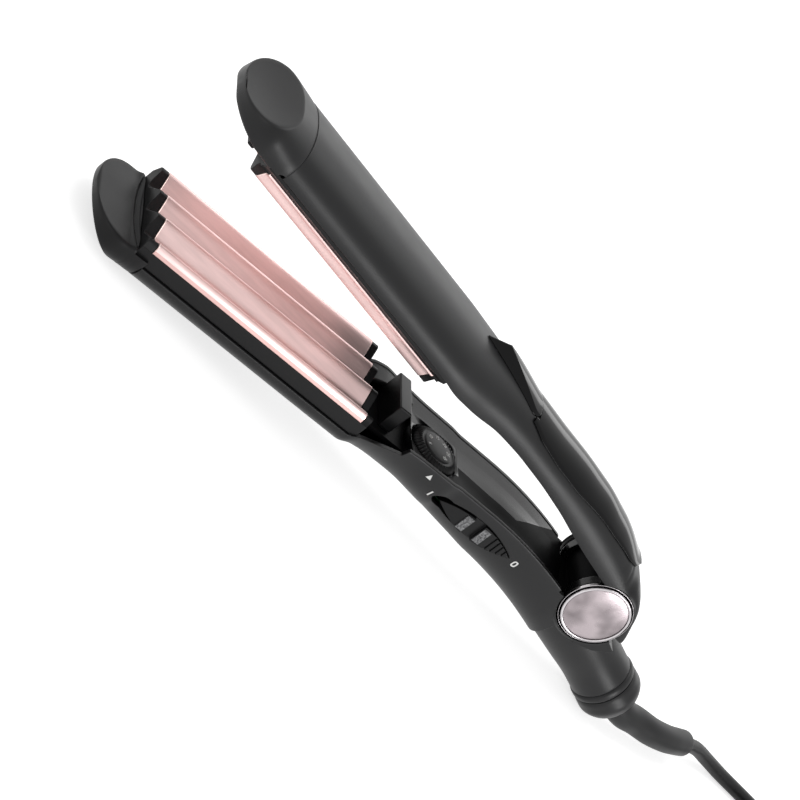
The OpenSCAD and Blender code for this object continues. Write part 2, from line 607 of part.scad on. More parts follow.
// ---- plate holders: trays with wave-shaped end walls
cap_drop = 0.4;
module end_walls(outline) {
    along_x(-plate_end - tip_wall, -plate_end) polygon(outline);
    along_x(plate_end, holder_tail) polygon(outline);
}
module end_slopes(z, tip) {
    translate([holder_tip + 1.4, -far, z]) rotate([0, tip, 0]) translate([-far, 0, -far / 2])
        cube([far, 2 * far, far]);
}
module lower_plate_holder() {
    color(satin) lower_arm() difference() {
        union() {
            block(holder_tip, holder_tail, -holder_hw, holder_hw, low_rim + 0.4,
                -plate_side_h - seat);
            block(holder_tip, holder_tail, -base_hw - 0.4, base_hw + 0.4, tray_z - tray_t,
                low_rim + 0.4);
            end_walls(concat([for (q = lower_wave()) q - [0, cap_drop]],
                [[plate_hw, -plate_side_h - 1], [-plate_hw, -plate_side_h - 1]]));
            for (x = holder_screw_xs) translate([x, 0, lower_back(x) + wall + body_gap])
                cylinder(r = 3.2, h = tray_z - tray_t - lower_back(x) - wall);
        }
        block(-plate_end, plate_end, -base_hw - 0.15, base_hw + 0.15, tray_z, 0);
        end_slopes(-cap_drop, 19);
        for (x = holder_screw_xs) translate([x, 0, lower_back(x)])
            cylinder(r = screw_r + 0.05, h = screw_len + 0.4);
        translate([plate_len / 2 - 8, 3, -far]) cylinder(r = 2.4, h = far);
    }
}
up_heater_z = up_plate_back + seat;
up_clamp_z = up_heater_z + heater_t + seat;
up_cushion_z = up_clamp_z + clamp_t + seat;
up_tray_z = up_cushion_z + cushion_t + seat;
module upper_plate_holder() {
    color(satin) upper_arm() difference() {
        union() {
            block(holder_tip, holder_tail, -holder_hw, holder_hw, up_plate_side + seat,
                up_rim - 0.4);
            block(holder_tip, holder_tail, -base_hw - 0.4, base_hw + 0.4, up_rim - 0.5,
                up_tray_z + tray_t);
            end_walls(concat([for (q = upper_wave()) q + [0, cap_drop]],
                [[up_plate_hw, up_plate_side + 1], [-up_plate_hw, up_plate_side + 1]]));
            for (x = holder_screw_xs) translate([x, 0, up_tray_z])
                cylinder(r = 3.2, h = upper_back(x) - wall - body_gap - up_tray_z);
        }
        block(-plate_end, plate_end, -up_base_hw - 0.15, up_base_hw + 0.15, 0, up_tray_z);
        end_slopes(up_crest + cap_drop, -19);
        translate([plate_len / 2 - 8, 3, 0]) cylinder(r = 2.4, h = far);
    }
}

// ---- plates, heaters and what presses them up
module lower_wave_plate() {
    color(rose) lower_arm()
        along_x(-plate_len / 2, plate_len / 2) polygon(lower_plate_profile());
}
module upper_wave_plate() {
    color(rose) upper_arm()
        along_x(-plate_len / 2, plate_len / 2) polygon(upper_plate_profile());
}
module bar(length, width, z0, z1) {
    block(-length / 2, length / 2, -width / 2, width / 2, z0, z1);
}
module cushions(z0) {
    for (x = [-1, 1], y = [-1, 1])
        translate([x * (heater_len / 2 - 14), y * (heater_w / 2 - 3), z0]) cylinder(r = 3, h = cushion_t);
}
module lower_heater() { color("white") lower_arm() bar(heater_len, heater_w, heater_z - heater_t, heater_z); }
module upper_heater() {
    color("white") upper_arm() bar(heater_len, heater_w, up_heater_z, up_heater_z + heater_t);
}
module lower_heater_clamp() {
    color(steel) lower_arm() bar(heater_len + 6, heater_w + 4, clamp_z - clamp_t, clamp_z);
}
module upper_heater_clamp() {
    color(steel) upper_arm() bar(heater_len + 6, heater_w + 4, up_clamp_z, up_clamp_z + clamp_t);
}
module lower_cushions() { color("orangered") lower_arm() cushions(tray_z + seat); }
module upper_cushions() { color("orangered") upper_arm() cushions(up_cushion_z); }
fuse_r = 1.9;
module thermal_fuse() {
    color(steel) lower_arm() translate([14, -8, tray_z - tray_t - fuse_r - seat]) rotate([0, 90, 0])
        cylinder(r = fuse_r, h = 11);
}

// ---- screws
module screw(length) {
    cylinder(r = head_r, h = head_h);
    cylinder(r = screw_r, h = length);
}
module lower_screws() {
    color(steel) lower_arm() low_screw_places() screw(screw_len);
}
module upper_screws() {
    color(steel) upper_arm() for (x = up_screw_xs)
        translate([x, 0, up_head_z(x)]) screw(screw_len);
}

// ---- controls
module guide_post() {
    color(gloss) lower_arm() block(post_x - post_t / 2, post_x + post_t / 2, -post_w / 2,
        post_w / 2, floor_z + seat, post_top);
}
module temperature_dial() {
    teeth = [for (i = [0:2 * dial_teeth - 1]) let (a = 180 * i / dial_teeth,
        r = dial_d / 2 - (i % 2) * 0.5) r * [cos(a), sin(a)]];
    color(satin) lower_arm() dial_place() difference() {
        translate([0, 0, dial_bottom]) linear_extrude(dial_t) polygon(teeth);
        translate([0, 0, dial_bottom - 1]) cylinder(r = shaft_d / 2 + pin_fit, h = dial_t);
        translate([0, 0, dial_top - 0.5]) difference() {
            cylinder(r = dial_d / 2 - 1.6, h = 2);
            translate([0, 0, -1]) cylinder(r = dial_d / 2 - 6.2, h = 4);
        }
    }
}
board_top = -19.4;
board_t = 1.6;
pot_top = pit_floor - 1.4 - seat;
module potentiometer() {
    color(steel) lower_arm() dial_place() {
        translate([-8, -5.5, board_top + seat]) cube([16, 16, pot_top - board_top - seat]);
        translate([0, 0, pot_top - 1]) cylinder(r = shaft_d / 2, h = dial_top - 1.3 - pot_top);
    }
}
switch_body_y = -10.4;
slider_t = 1.4;
board_x0 = recess_x1 + 5;
board_x1 = hinge_x - 47;
module control_board() {
    color("darkgreen") lower_arm() block(board_x0 + 2, board_x1, -8, 8, board_top - board_t,
        board_top);
}
module slide_switch() {
    color("dimgray") lower_arm() block(switch_x - 13, switch_x + 13, switch_body_y,
        switch_body_y + 7, board_top + seat, switch_z + 6);
}
slider_rest = switch_x + switch_travel / 2;
slider_len = switch_len - switch_travel - 1.4;
slider_h = switch_h - 1.6;
slider_out = -grip_hw - 0.5;
slider_root = switch_body_y - body_gap - slider_t;
lens_xs = [slider_rest - 5.5, slider_rest + 4];
lens_w = 3.6;
lens_h = slider_h - 1.8;
module slider_place() { translate([slider_rest, 0, switch_z]) children(); }
module power_slider() {
    color(satin) lower_arm() difference() {
        slider_place() union() {
            leaf(slider_len, slider_h, slider_out, slider_root + 0.2);
            leaf(slider_len + 2, slider_h + 1.2, slider_root, slider_root + slider_t);
        }
        slider_place() {
            // the thumb notch between the two windows and the ribs behind them
            block(-3.7, 1.9, -far, slider_out + 1.6, -far, far);
            for (i = [0:3]) translate([9 + 2.4 * i, 0, 0])
                block(-0.4, 0.4, -far, slider_out + 0.7, -far, far);
            // the front half slopes back towards its tip
            translate([-slider_len / 2, slider_out + 1.9, -far]) rotate([0, 0, -6.5])
                translate([-20, -10, 0]) cube([35.5, 10, 2 * far]);
        }
        for (x = lens_xs) translate([x, 0, switch_z])
            block(-lens_w / 2, lens_w / 2, -far, slider_out + 2.4, -lens_h / 2, lens_h / 2);
    }
}
module slider_lenses() {
    color([0.8, 0.82, 0.85, 0.6]) lower_arm() for (x = lens_xs) translate([x, 0, switch_z])
        block(-lens_w / 2 + 0.05, lens_w / 2 - 0.05, slider_out - 0.1, slider_out + 2.35,
            -lens_h / 2 + 0.05, lens_h / 2 - 0.05);
}
module indicator_led() {
    color("orange") lower_arm() translate([switch_x - 17.5, -7, board_top + seat]) {
        cylinder(r = 1.9, h = 1);
        cylinder(r = 1.5, h = 4.4);
    }
}
lead_r = 1;
lead_z = board_top + lead_r + 0.2;
clamp_back = seam_point + (flange_back - 12) * tail_dir;
module lower_leads() {
    color("white") lower_arm() {
        tube([clamp_back - [0.1, 0, 0], clamp_back - [9, 0, -2.6], [hinge_x - 3, 0, hinge_z - 20],
            [hinge_x - 18, 0, -26], [hinge_x - 33, 5, -21], [board_x1 + 3, 5, lead_z],
            [board_x1 - 6, 5, lead_z]], lead_r);
        tube([[board_x0 + 24, 3, lead_z], [board_x0 + 16, 7.4, lead_z + 0.3],
            [board_x0 - 4, 7.4, -18], [board_x0 - 18, 3, -18], [plate_end, 3, -18],
            [plate_end - 9, 3, tray_z - tray_t - lead_r - seat]], lead_r);
    }
}
module upper_leads() {
    color("white") upper_arm()
        tube([[hinge_x - 21.6, 4, 8.2], [hinge_x - 35.6, 4, 10.8], [hinge_x - 53.6, 6, 12.6],
            [plate_end + 54.7, 6, 13.6], [plate_end + 24.7, 4, 13.4], [plate_end + 6.7, 3, 12],
            [plate_end - 9.3, 3, up_tray_z + tray_t + lead_r + seat]], lead_r);
}

// ---- hinge
cap_y = barrel_w / 2 + side_gap + ear_t + side_gap;
module hinge_pin() {
    color(steel) lower_arm() at_hinge() y_cyl(pin_r, -cap_y, cap_y);
}
module hinge_spring() {
    turn_steps = 14;
    coil = [for (i = [0:coil_turns * turn_steps]) let (a = -360 * i / turn_steps,
        y = -coil_len / 2 + coil_len * i / (coil_turns * turn_steps))
        [hinge_x + coil_r * cos(a), y, hinge_z + coil_r * sin(a)]];
    leg = [for (h = [4, 9, hollow_r - 2.8]) [hinge_x + coil_r, coil_len / 2 + 0.35, hinge_z + h]];
    color(steel) lower_arm() tube(concat([coil[0] + [0, -0.3, 2.4]], coil, leg), spring_wire / 2,
        8, [0, 1, 0]);
}
module hinge_cap() {
    top = grip_hw + 0.3;
    color(chrome) lower_arm() at_hinge() rotate([90, 0, 0]) rotate_extrude()
        polygon(concat([[0, cap_y], [cap_d / 2 - 0.4, cap_y], [cap_d / 2, cap_y + 0.4],
            [cap_d / 2, top], [cap_d / 2 - 0.5, top + 0.5], [cap_d / 2 - 1.1, top + 0.5],
            [cap_d / 2 - 1.3, top]],
            [for (t = [0:0.125:1]) [(cap_d / 2 - 1.7) * (1 - t), top + cap_dome * (1 - pow(1 - t, 2))]]));
}
module hinge_cap_near() { hinge_cap(); }
module hinge_cap_far() { mirror([0, 1, 0]) hinge_cap(); }

// ---- tail: collar, clamp and swivel
collar_r = tail_r + 0.5;
neck_r = 9.1;
swivel_r = swivel_d / 2;
module tail_collar() {
    color(satin) lower_arm() on_tail() rotate_extrude() polygon([[neck_r + body_gap, -collar_len],
        [tail_r - 0.1, -collar_len], [collar_r, -collar_len + 1], [collar_r, -body_gap - 1],
        [collar_r - 0.6, -body_gap], [neck_r + body_gap, -body_gap]]);
}
module cable_clamp() {
    color("dimgray") lower_arm() on_tail() difference() {
        translate([0, 0, flange_back - 12]) cylinder(r = tail_r - wall - seat, h = 9);
        translate([0, 0, flange_back - 13]) cylinder(r = cord_d / 2 + seat, h = 11);
        translate([0, 0, flange_back - 5.5]) cylinder(r = sleeve_r + seat, h = 5);
    }
}
module cord_swivel() {
    color(satin) lower_arm() on_tail() rotate_extrude() polygon([
        [sleeve_r + 0.35, flange_back], [tail_r - wall - 0.4, flange_back],
        [tail_r - wall - 0.4, -collar_len - body_gap], [neck_r, -collar_len - body_gap],
        [neck_r, 0], [swivel_r - 0.5, 0], [swivel_r, 2.6], [swivel_r, swivel_len / 2],
        [swivel_r - 0.8, swivel_len - 4], [swivel_r - 2.6, swivel_len - 1.4],
        [swivel_face_r, swivel_len], [sleeve_r + 0.35, swivel_len]]);
}

// ---- thumb rest and gloss inlay on the upper arm's back
fin_x0 = plate_len / 2 + 8.5;
fin_peak = fin_x0 + 9;
fin_x1 = hinge_x - 92;
fin_hw = 10;
skin_gap = 0.12;
function up_surface(x, y) = upper_rim(x) + (upper_back(x) - upper_rim(x))
    * pow(1 - pow(abs(y) / upper_hw(x), upper_power), 1 / upper_power);
function fin_base(x) = lookup(x, [[fin_x0, 0.5], [fin_x1 - 3, fin_hw], [fin_x1, fin_hw - 1.2]]);
function fin_top_hw(x) = lookup(x, [[fin_peak, 0.3], [fin_peak + 8, 3], [fin_peak + 18, 6.4],
    [fin_x1 - 3, fin_hw - 1], [fin_x1, fin_hw - 2]]);
function fin_top(x) = lookup(x, [[fin_x0, up_back + 0.7], [fin_peak, up_back + 5.4],
    [fin_peak + 10, up_back + 3.9], [fin_peak + 21, up_back + 2.4], [fin_x1, up_back + 1.3]]);
function fin_ring(x) = let (b = fin_base(x), w = min(fin_top_hw(x), b - 0.1), t = fin_top(x))
    at_x(x, concat([for (k = [-1, -0.5, 0, 0.5, 1]) [b * k, up_surface(x, b * k) + skin_gap]],
        [for (k = [1, 0.5, 0, -0.5, -1]) [w * k, t - 0.02 * w * w * k * k]]));
module thumb_rest() {
    color(gloss) upper_arm() skin([for (x = concat([fin_x0], stations(fin_x0 + 3, fin_x1, 10)))
        fin_ring(x)]);
}
inlay_t = 0.8;
inlay_x0 = fin_x1 - 1.4;
inlay_x1 = hinge_x - 2.4;
function inlay_hw(x) = lookup(x, [[inlay_x0, fin_hw + 1.6], [hinge_x - 85, fin_hw + 3.6],
    [hinge_x - 71, grip_hw - 3.1], [hinge_x - 55, grip_hw - 3.1], [hinge_x - 41, grip_hw - 4.4],
    [hinge_x - 27, grip_hw - 5.1], [hinge_x - 12, grip_hw - 6.4], [hinge_x - 6, grip_hw - 8.6],
    [inlay_x1, 3]]);
inlay_steps = 12;
// A point of the upper shell's skin, grown by d, at the angle a round its section.
function up_skin(x, a, d) = [-(upper_hw(x) + d) * bow(cos(a), upper_power),
    upper_rim(x) + (upper_back(x) - upper_rim(x) + d) * bow(sin(a), upper_power)];
function inlay_ring(x) =
    let (a0 = acos(pow(inlay_hw(x) / upper_hw(x), upper_power / 2)),
        as = [for (i = [0:inlay_steps]) a0 + (180 - 2 * a0) * i / inlay_steps])
    at_x(x, concat([for (a = as) up_skin(x, a, skin_gap)],
        [for (a = reversed(as)) up_skin(x, a, skin_gap + inlay_t)]));
module gloss_inlay() {
    color(gloss) upper_arm() difference() {
        skin([for (x = stations(inlay_x0, inlay_x1, 16)) inlay_ring(x)]);
        xz_prism([[inlay_x0 - 1, 0], [fin_x1 + 0.4, 0], [fin_x1 + 0.4, 40], [inlay_x0 - 1, 40]],
            -fin_hw, fin_hw);
    }
}

// ---- cord, as it lies on the table behind the tail
function blend(a, b, c, d, t) = 0.5 * ((2 * b) + (c - a) * t + (2 * a - 5 * b + 4 * c - d) * t * t
    + (3 * b - a - 3 * c + d) * t * t * t);
function smooth(path, n) = let (m = len(path) - 1) concat(
    [for (i = [0:m - 1]) for (k = [0:n - 1])
        blend(path[max(0, i - 1)], path[i], path[i + 1], path[min(m, i + 2)], k / n)],
    [path[m]]);
function on_axis(s) = in_row(seam_point + s * tail_dir);
sleeve_root = flange_back - 5.4;
sleeve_path = [on_axis(sleeve_root), on_axis(0), on_axis(swivel_len), [174, 1.6, 9.9],
    [183, 5, 9.7], [194.5, 8.2, 9.6], [206, 13.4, 9.6], [214.5, 18.7, 9.6], [219, 21.8, 9.5]];
cord_route = [[219, 21.8, 9.5], [233, 31, 8], [246, 36.6, 5.2], [259, 39.3, 3.5],
    [273, 40, 3.2], [289, 40, 3.2], [305, 39.8, 3.2]];
coil_centre = [320, -6, 0];
coil_mean_r = 36;
coil_rows = 2;
coil_columns = 4;
plug_tail = [[311, -51.2, 9.4], [299, -51.8, 8.4], [288, -52, 7.4], [278, -52, 7]];
plug_len = 36;
plug_w = 26;
plug_t = 13.6;
module cord_sleeve() {
    path = smooth(sleeve_path, 2);
    last = len(path) - 1;
    radii = [for (i = [0:last]) i < 5 ? sleeve_r : sleeve_r - 0.7 * (i - 4) / (last - 4)];
    color(satin) skin(tube_rings(path, radii, 12, [0, 0, 1]));
}
module cord_tube() {
    color(satin) tube(smooth(cord_route, 2), cord_d / 2, 10);
}
module cord_coil() {
    half_w = coil_columns * cord_d / 2;
    color(satin) translate(coil_centre) rotate_extrude() translate([coil_mean_r - half_w, 0])
        polygon([[1, 0], [2 * half_w - 1, 0], [2 * half_w, 1], [2 * half_w, coil_rows * cord_d - 1],
            [2 * half_w - 1, coil_rows * cord_d], [1, coil_rows * cord_d],
            [0, coil_rows * cord_d - 1], [0, 1]]);
}
plug_face = plug_tail[3] - [plug_len, 0, 0];
pin_root = 8;
pin_root_r = plug_pin_d / 2 - 0.4;
pin_relief = 0.2;
pin_chamfer = 0.8;
module pin_places() {
    for (side = [-1, 1]) translate(plug_face + [0, side * plug_pin_gap / 2, 0])
        rotate([0, -90, 0]) children();
}
module plug_body() {
    color(satin) {
        skin(tube_rings(concat(plug_tail, [plug_tail[3] - [4, 0, 0]]), [4, 4.5, 5, 5.6, 5.8], 12,
            [0, 0, 1]));
        translate(plug_tail[3]) difference() {
            intersection() {
                translate([0, 0, -plug_t / 2]) linear_extrude(plug_t) polygon([[0, -6], [0, 6],
                    [-12, plug_w / 2 - 0.6], [-20, plug_w / 2], [-plug_len + 2, plug_w / 2],
                    [-plug_len, plug_w / 2 - 2], [-plug_len, -plug_w / 2 + 2],
                    [-plug_len + 2, -plug_w / 2], [-20, -plug_w / 2], [-12, -plug_w / 2 + 0.6]]);
                along_x(-plug_len, 0) polygon([[-plug_w / 2, -3], [-plug_w / 2 + 3.6, -plug_t / 2],
                    [plug_w / 2 - 3.6, -plug_t / 2], [plug_w / 2, -3], [plug_w / 2, 3],
                    [plug_w / 2 - 3.6, plug_t / 2], [-plug_w / 2 + 3.6, plug_t / 2],
                    [-plug_w / 2, 3]]);
            }
            translate(-plug_tail[3]) pin_places() translate([0, 0, -pin_root])
                cylinder(r = pin_root_r, h = pin_root + 1);
        }
    }
}
module plug_pins() {
    color(chrome) pin_places() {
        translate([0, 0, -pin_root]) cylinder(r = pin_root_r, h = pin_root + pin_relief);
        translate([0, 0, pin_relief])
            cylinder(r = plug_pin_d / 2, h = plug_pin_len - pin_chamfer - pin_relief);
        translate([0, 0, plug_pin_len - pin_chamfer])
            cylinder(r1 = plug_pin_d / 2, r2 = plug_pin_d / 2 - pin_chamfer, h = pin_chamfer);
    }
}

lower_shell();
lower_tip_cap();
lower_inner_cover();
lower_plate_holder();
lower_wave_plate();
lower_heater();
lower_heater_clamp();
lower_cushions();
thermal_fuse();
lower_screws();
guide_post();
temperature_dial();
potentiometer();
control_board();
slide_switch();
power_slider();
slider_lenses();
indicator_led();
lower_leads();
hinge_pin();
hinge_spring();
hinge_cap_near();
hinge_cap_far();
tail_collar();
cable_clamp();
cord_swivel();
cord_sleeve();
cord_tube();
cord_coil();
plug_body();
plug_pins();
upper_shell();
upper_tip_cap();
upper_inner_cover();
upper_plate_holder();
upper_wave_plate();
upper_heater();
upper_heater_clamp();
upper_cushions();
upper_screws();
upper_leads();
thumb_rest();
gloss_inlay();
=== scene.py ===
"""Hair waver: the looks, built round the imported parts.

Lengths are in millimetres in an arm's own frame: X from the middle of the wave plate to the
tail, Z up from the lower plate's crests, Y away from the switch. LOWER and UPPER place an arm
in the row's frame, in metres.
"""
import json
from math import acos, asin, atan, atan2, copysign, cos, exp, pi, radians, sin, sqrt, tan

import bmesh
import bpy
from mathutils import Matrix, Vector


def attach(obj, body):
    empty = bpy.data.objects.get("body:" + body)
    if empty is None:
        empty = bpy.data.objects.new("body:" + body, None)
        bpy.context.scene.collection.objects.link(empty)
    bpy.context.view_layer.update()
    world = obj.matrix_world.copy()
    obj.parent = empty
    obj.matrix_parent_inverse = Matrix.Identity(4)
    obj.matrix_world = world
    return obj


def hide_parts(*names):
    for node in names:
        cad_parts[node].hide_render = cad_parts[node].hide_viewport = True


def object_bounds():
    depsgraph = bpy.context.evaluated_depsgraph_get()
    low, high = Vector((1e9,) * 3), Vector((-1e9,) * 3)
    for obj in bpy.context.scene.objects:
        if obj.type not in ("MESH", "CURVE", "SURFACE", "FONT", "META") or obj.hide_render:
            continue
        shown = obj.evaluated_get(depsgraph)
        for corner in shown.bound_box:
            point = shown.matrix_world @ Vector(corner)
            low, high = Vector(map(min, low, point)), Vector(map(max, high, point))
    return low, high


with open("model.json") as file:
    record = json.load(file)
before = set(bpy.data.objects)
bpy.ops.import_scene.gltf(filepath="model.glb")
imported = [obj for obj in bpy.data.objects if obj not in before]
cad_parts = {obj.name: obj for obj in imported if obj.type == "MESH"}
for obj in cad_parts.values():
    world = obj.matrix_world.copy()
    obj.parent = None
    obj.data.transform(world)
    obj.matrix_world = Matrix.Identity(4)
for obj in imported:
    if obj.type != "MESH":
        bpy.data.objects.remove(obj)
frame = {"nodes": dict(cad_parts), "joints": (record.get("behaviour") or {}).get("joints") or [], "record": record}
cad_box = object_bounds()
joints = {j["name"]: j for j in frame["joints"]}
MM = 0.001

# ---- the driving sizes, in mm
PLATE_LEN = 110.0
WAVE_PITCH = 14.8
WAVE_DEPTH = 5.8
CREST_FLAT = 1.6
PLATE_BASE = 1.8
PLATES_GAP = 0.6
EDGE_DROP = 2.4
PLATE_SIDE = 6.3
WALL = 2.0
HEAD_HW = 24.5
GRIP_HW = 17.5
LOW_RIM = -13.5
LOW_BACK = -24.0
LOW_PAD = -9.0
LOW_GRIP_RIM = 4.7
NECK_DEPTH = 19.6
GRIP_DEPTH = 26.5
BEND_R = 190.0
UP_RIM = 6.0
UP_BACK = 21.3
UP_GRIP_DEPTH = 14.2
TIP_LEN = 30.5
TIP_SETBACK = 2.0
FACET_ANGLE = 28.0
NOSE_T = 3.2
HINGE_X = 193.6
HINGE_Z = -9.7
CAP_D = 29.4
CAP_DOME = 1.6
BARREL_W = 21.0
EAR_T = 3.8
SIDE_GAP = 0.3
TAIL_ANGLE = 21.0
TAIL_D = 26.6
TAIL_REACH = 44.2
SWIVEL_D = 27.6
SWIVEL_LEN = 12.5
DIAL_D = 23.2
DIAL_T = 4.4
DIAL_X = 95.2
DIAL_Y = -5.0
DIAL_TEETH = 44
SWITCH_X = 126.0
SWITCH_LEN = 45.0
SWITCH_H = 11.0
SWITCH_Z = -14.9
CORD_D = 6.4
SLEEVE_D = 13.0

SEAT = 0.1
BODY_GAP = 0.3
PLATE_X1 = PLATE_LEN / 2
HEAD_X0 = -PLATE_X1 + 1.6
PLATE_END = PLATE_X1 + 0.3
HOLDER_TIP = -PLATE_END - 4.6
SKIRT_X = HOLDER_TIP - 0.3
NOSE_X = HEAD_X0 - TIP_LEN
RECESS_X1 = PLATE_X1 + 27.3
BEND_X = HINGE_X - 68
GRIP_FULL_X = HINGE_X - 58
RECESS_RIM = LOW_RIM + 2.7
UP_PAD_NOSE = UP_RIM - 0.7
UP_FACET = UP_RIM + 3.8
UP_PAD_FRONT = UP_RIM - 1.6
NOSE_BULGE = 0.6
NOSE_ROUND = 1.6
FAR = 400.0

# ---- where the arms lie
HINGE = Vector((HINGE_X, 0, HINGE_Z))
hinge_row = Vector(joints["arm_hinge"]["pos_m"])
along = joints["power_slide"]["axis"]
TILT = atan2(-along[2], -along[0])
OPEN = radians(joints["arm_hinge"]["range_deg"][1])


def arm_place(angle):
    return (Matrix.Translation(hinge_row) @ Matrix.Rotation(angle, 4, "Y")
            @ Matrix.Scale(MM, 4) @ Matrix.Translation(-HINGE))


LOWER = arm_place(-TILT)
UPPER = arm_place(OPEN - TILT)
TAIL_DIR = Vector((cos(radians(TAIL_ANGLE)), 0, -sin(radians(TAIL_ANGLE))))
SEAM = Vector((HINGE_X, 0, HINGE_Z - 15.7)) + TAIL_REACH * TAIL_DIR
ON_TAIL = Matrix.Translation(SEAM) @ Matrix.Rotation(radians(90 + TAIL_ANGLE), 4, "Y")
ON_HINGE = Matrix.Translation(HINGE) @ Matrix.Rotation(pi / 2, 4, "X")
ROW = Matrix.Scale(MM, 4)
ON_LOWER = (LOWER, "lower_arm")
ON_UPPER = (UPPER, "upper_arm")


def add_object(name, data):
    obj = bpy.data.objects.new(name, data)
    bpy.context.scene.collection.objects.link(obj)
    return obj


# ---- camera
CAMERA_SPOT = Vector((-565.4, -1116.5, 603.1))
CAMERA_RIGHT = Vector((0.69028, -0.00209, 0.72354))
CAMERA_AHEAD = Vector((0.44803, 0.78645, -0.42516))
LENS_MM = 165.0


def make_camera():
    data = bpy.data.cameras.new("camera")
    data.lens, data.sensor_width = LENS_MM, 36
    data.clip_start, data.clip_end = 0.05, 20
    camera = add_object("camera", data)
    turn = LOWER.to_3x3().normalized()
    ahead, right = turn @ CAMERA_AHEAD, turn @ CAMERA_RIGHT
    up = right.cross(ahead)
    spin = Matrix((right, up, -ahead)).transposed()
    camera.matrix_world = Matrix.Translation(LOWER @ CAMERA_SPOT) @ spin.to_4x4()
    bpy.context.scene.camera = camera


make_camera()
bpy.context.scene.view_settings.view_transform = "Standard"


# ---- materials
def srgb(r, g, b):
    def one(v):
        v /= 255
        return v / 12.92 if v <= 0.04045 else ((v + 0.055) / 1.055) ** 2.4
    return (one(r), one(g), one(b), 1)


class Tree:
    """A node tree whose nodes are made, set and linked in one call each."""

    def __init__(self, owner):
        owner.use_nodes = True
        self.nodes, self.links = owner.node_tree.nodes, owner.node_tree.links

    def add(self, kind, output, values=(), links=(), **settings):
        node = self.nodes.new("ShaderNode" + kind)
        for key, value in settings.items():
            setattr(node, key, value)
        for socket, value in dict(values).items():
            node.inputs[socket].default_value = value
        for socket, source in dict(links).items():
            self.links.new(source, node.inputs[socket])
        return node.outputs[output]


class Graph(Tree):
    """One material's nodes, round its Principled shader."""

    def __init__(self, name, base_color, roughness, **extra):
        self.mat = bpy.data.materials.new(name)
        super().__init__(self.mat)
        self.shader = self.nodes["Principled BSDF"]
        for key, value in {"base_color": base_color, "roughness": roughness, **extra}.items():
            socket = key.replace("_", " ").title().replace("Ior", "IOR")
            self.shader.inputs[socket].default_value = value
        self.coords = self.nodes.new("ShaderNodeTexCoord").outputs["Object"]

    def feed(self, socket, source):
        self.links.new(source, self.shader.inputs[socket])

    def noise(self, scale, detail=3.0, stretch=None):
        where = self.coords
        if stretch:
            where = self.add("Mapping", "Vector", {"Scale": stretch}, {"Vector": where})
        return self.add("TexNoise", "Fac", {"Scale": scale, "Detail": detail}, {"Vector": where})

    def tint(self, value, low, high, at=(0.3, 0.7)):
        """The base colour runs from low to high with the value."""
        node = self.nodes.new("ShaderNodeValToRGB")
        for element, position, color in zip(node.color_ramp.elements, at, (low, high)):
            element.position, element.color = position, color
        self.links.new(value, node.inputs["Fac"])
        self.feed("Base Color", node.outputs["Color"])

    def drift(self, value, roughness, spread):
        """The roughness drifts a little either way with the value."""
        self.feed("Roughness", self.add(
            "MapRange", "Result", {"To Min": roughness - spread, "To Max": roughness + spread},
            {"Value": value}))

    def bump(self, value, strength, distance=0.0001, edge=None):
        links = {"Height": value}
        if edge:
            links["Normal"] = self.add("Bevel", "Normal", {"Radius": edge}, samples=6)
        self.feed("Normal", self.add("Bump", "Normal", {"Strength": strength, "Distance": distance},
                                     links))


def darker(color, share):
    return [c * share for c in color[:3]] + [1]


def moulded(name, color, roughness, specular=0.5, grain=0.03, edge=0.0004, spread=0.04):
    """Moulded plastic: a fine grain, and a roughness that drifts a little."""
    color = srgb(*color)
    g = Graph(name, color, roughness, specular_ior_level=specular)
    g.tint(g.noise(40), darker(color, 0.86), color)
    g.drift(g.noise(90, 4), roughness, spread)
    g.bump(g.noise(2600, 2), grain, edge=edge)
    return g.mat


def metal(name, color, roughness, stretch, grain=0.03, scale=30, deep=0.9):
    """Metal or a metallic coating: a grain drawn along one way, or soft mottles, which on the cap face are a
    painted reflection.
    """
    color = srgb(*color)
    g = Graph(name, color, roughness, metallic=1.0)
    g.tint(g.noise(scale, 2, stretch), darker(color, deep), color, (0.35, 0.62))
    g.drift(g.noise(500, 3, stretch), roughness, 0.05)
    g.bump(g.noise(900, 2, stretch), grain, edge=0.0003)
    return g.mat


def clear(name, color):
    g = Graph(name, color, 0.16, ior=1.5, alpha=0.75)
    g.tint(g.noise(1100, 6), srgb(70, 70, 72), srgb(170, 170, 172), (0.35, 0.7))
    g.bump(g.noise(900, 4), 0.35, 0.0003)
    return g.mat


SATIN = moulded("satin_black", (24, 24, 25), 0.38, 0.27)
# A darker, less shiny copy of the satin black: on the lower tip it is painted shade; the holders, the dial and the
# slider use it too.
SATIN_DARK = moulded("satin_deep", (17, 17, 18), 0.42, 0.2)
COVER = moulded("smooth_black", (17, 17, 18), 0.2, 0.4, grain=0.01, spread=0.03)
POST = moulded("post_black", (10, 10, 11), 0.3, 0.2, grain=0.01, spread=0.03)
# Painted shade: a near-black that stands for shade in the cover's recess and near strip, and in the gaps round the
# hinge caps.
PAINTED_SHADE = moulded("painted_shade_black", (8, 8, 9), 0.5, 0.05, grain=0.01)
GLOSS = moulded("gloss_black", (8, 8, 9), 0.09, 0.16, grain=0.006, spread=0.02)
ROSE = metal("rose_gold", (238, 209, 206), 0.42, (1, 14, 14), grain=0.05)
# Painted shade: a darker, rougher copy of the rose for the lower plate's near side face.
ROSE_SIDE_SHADED = metal("rose_side_painted_shade", (206, 172, 168), 0.55, (1, 14, 14), grain=0.05)
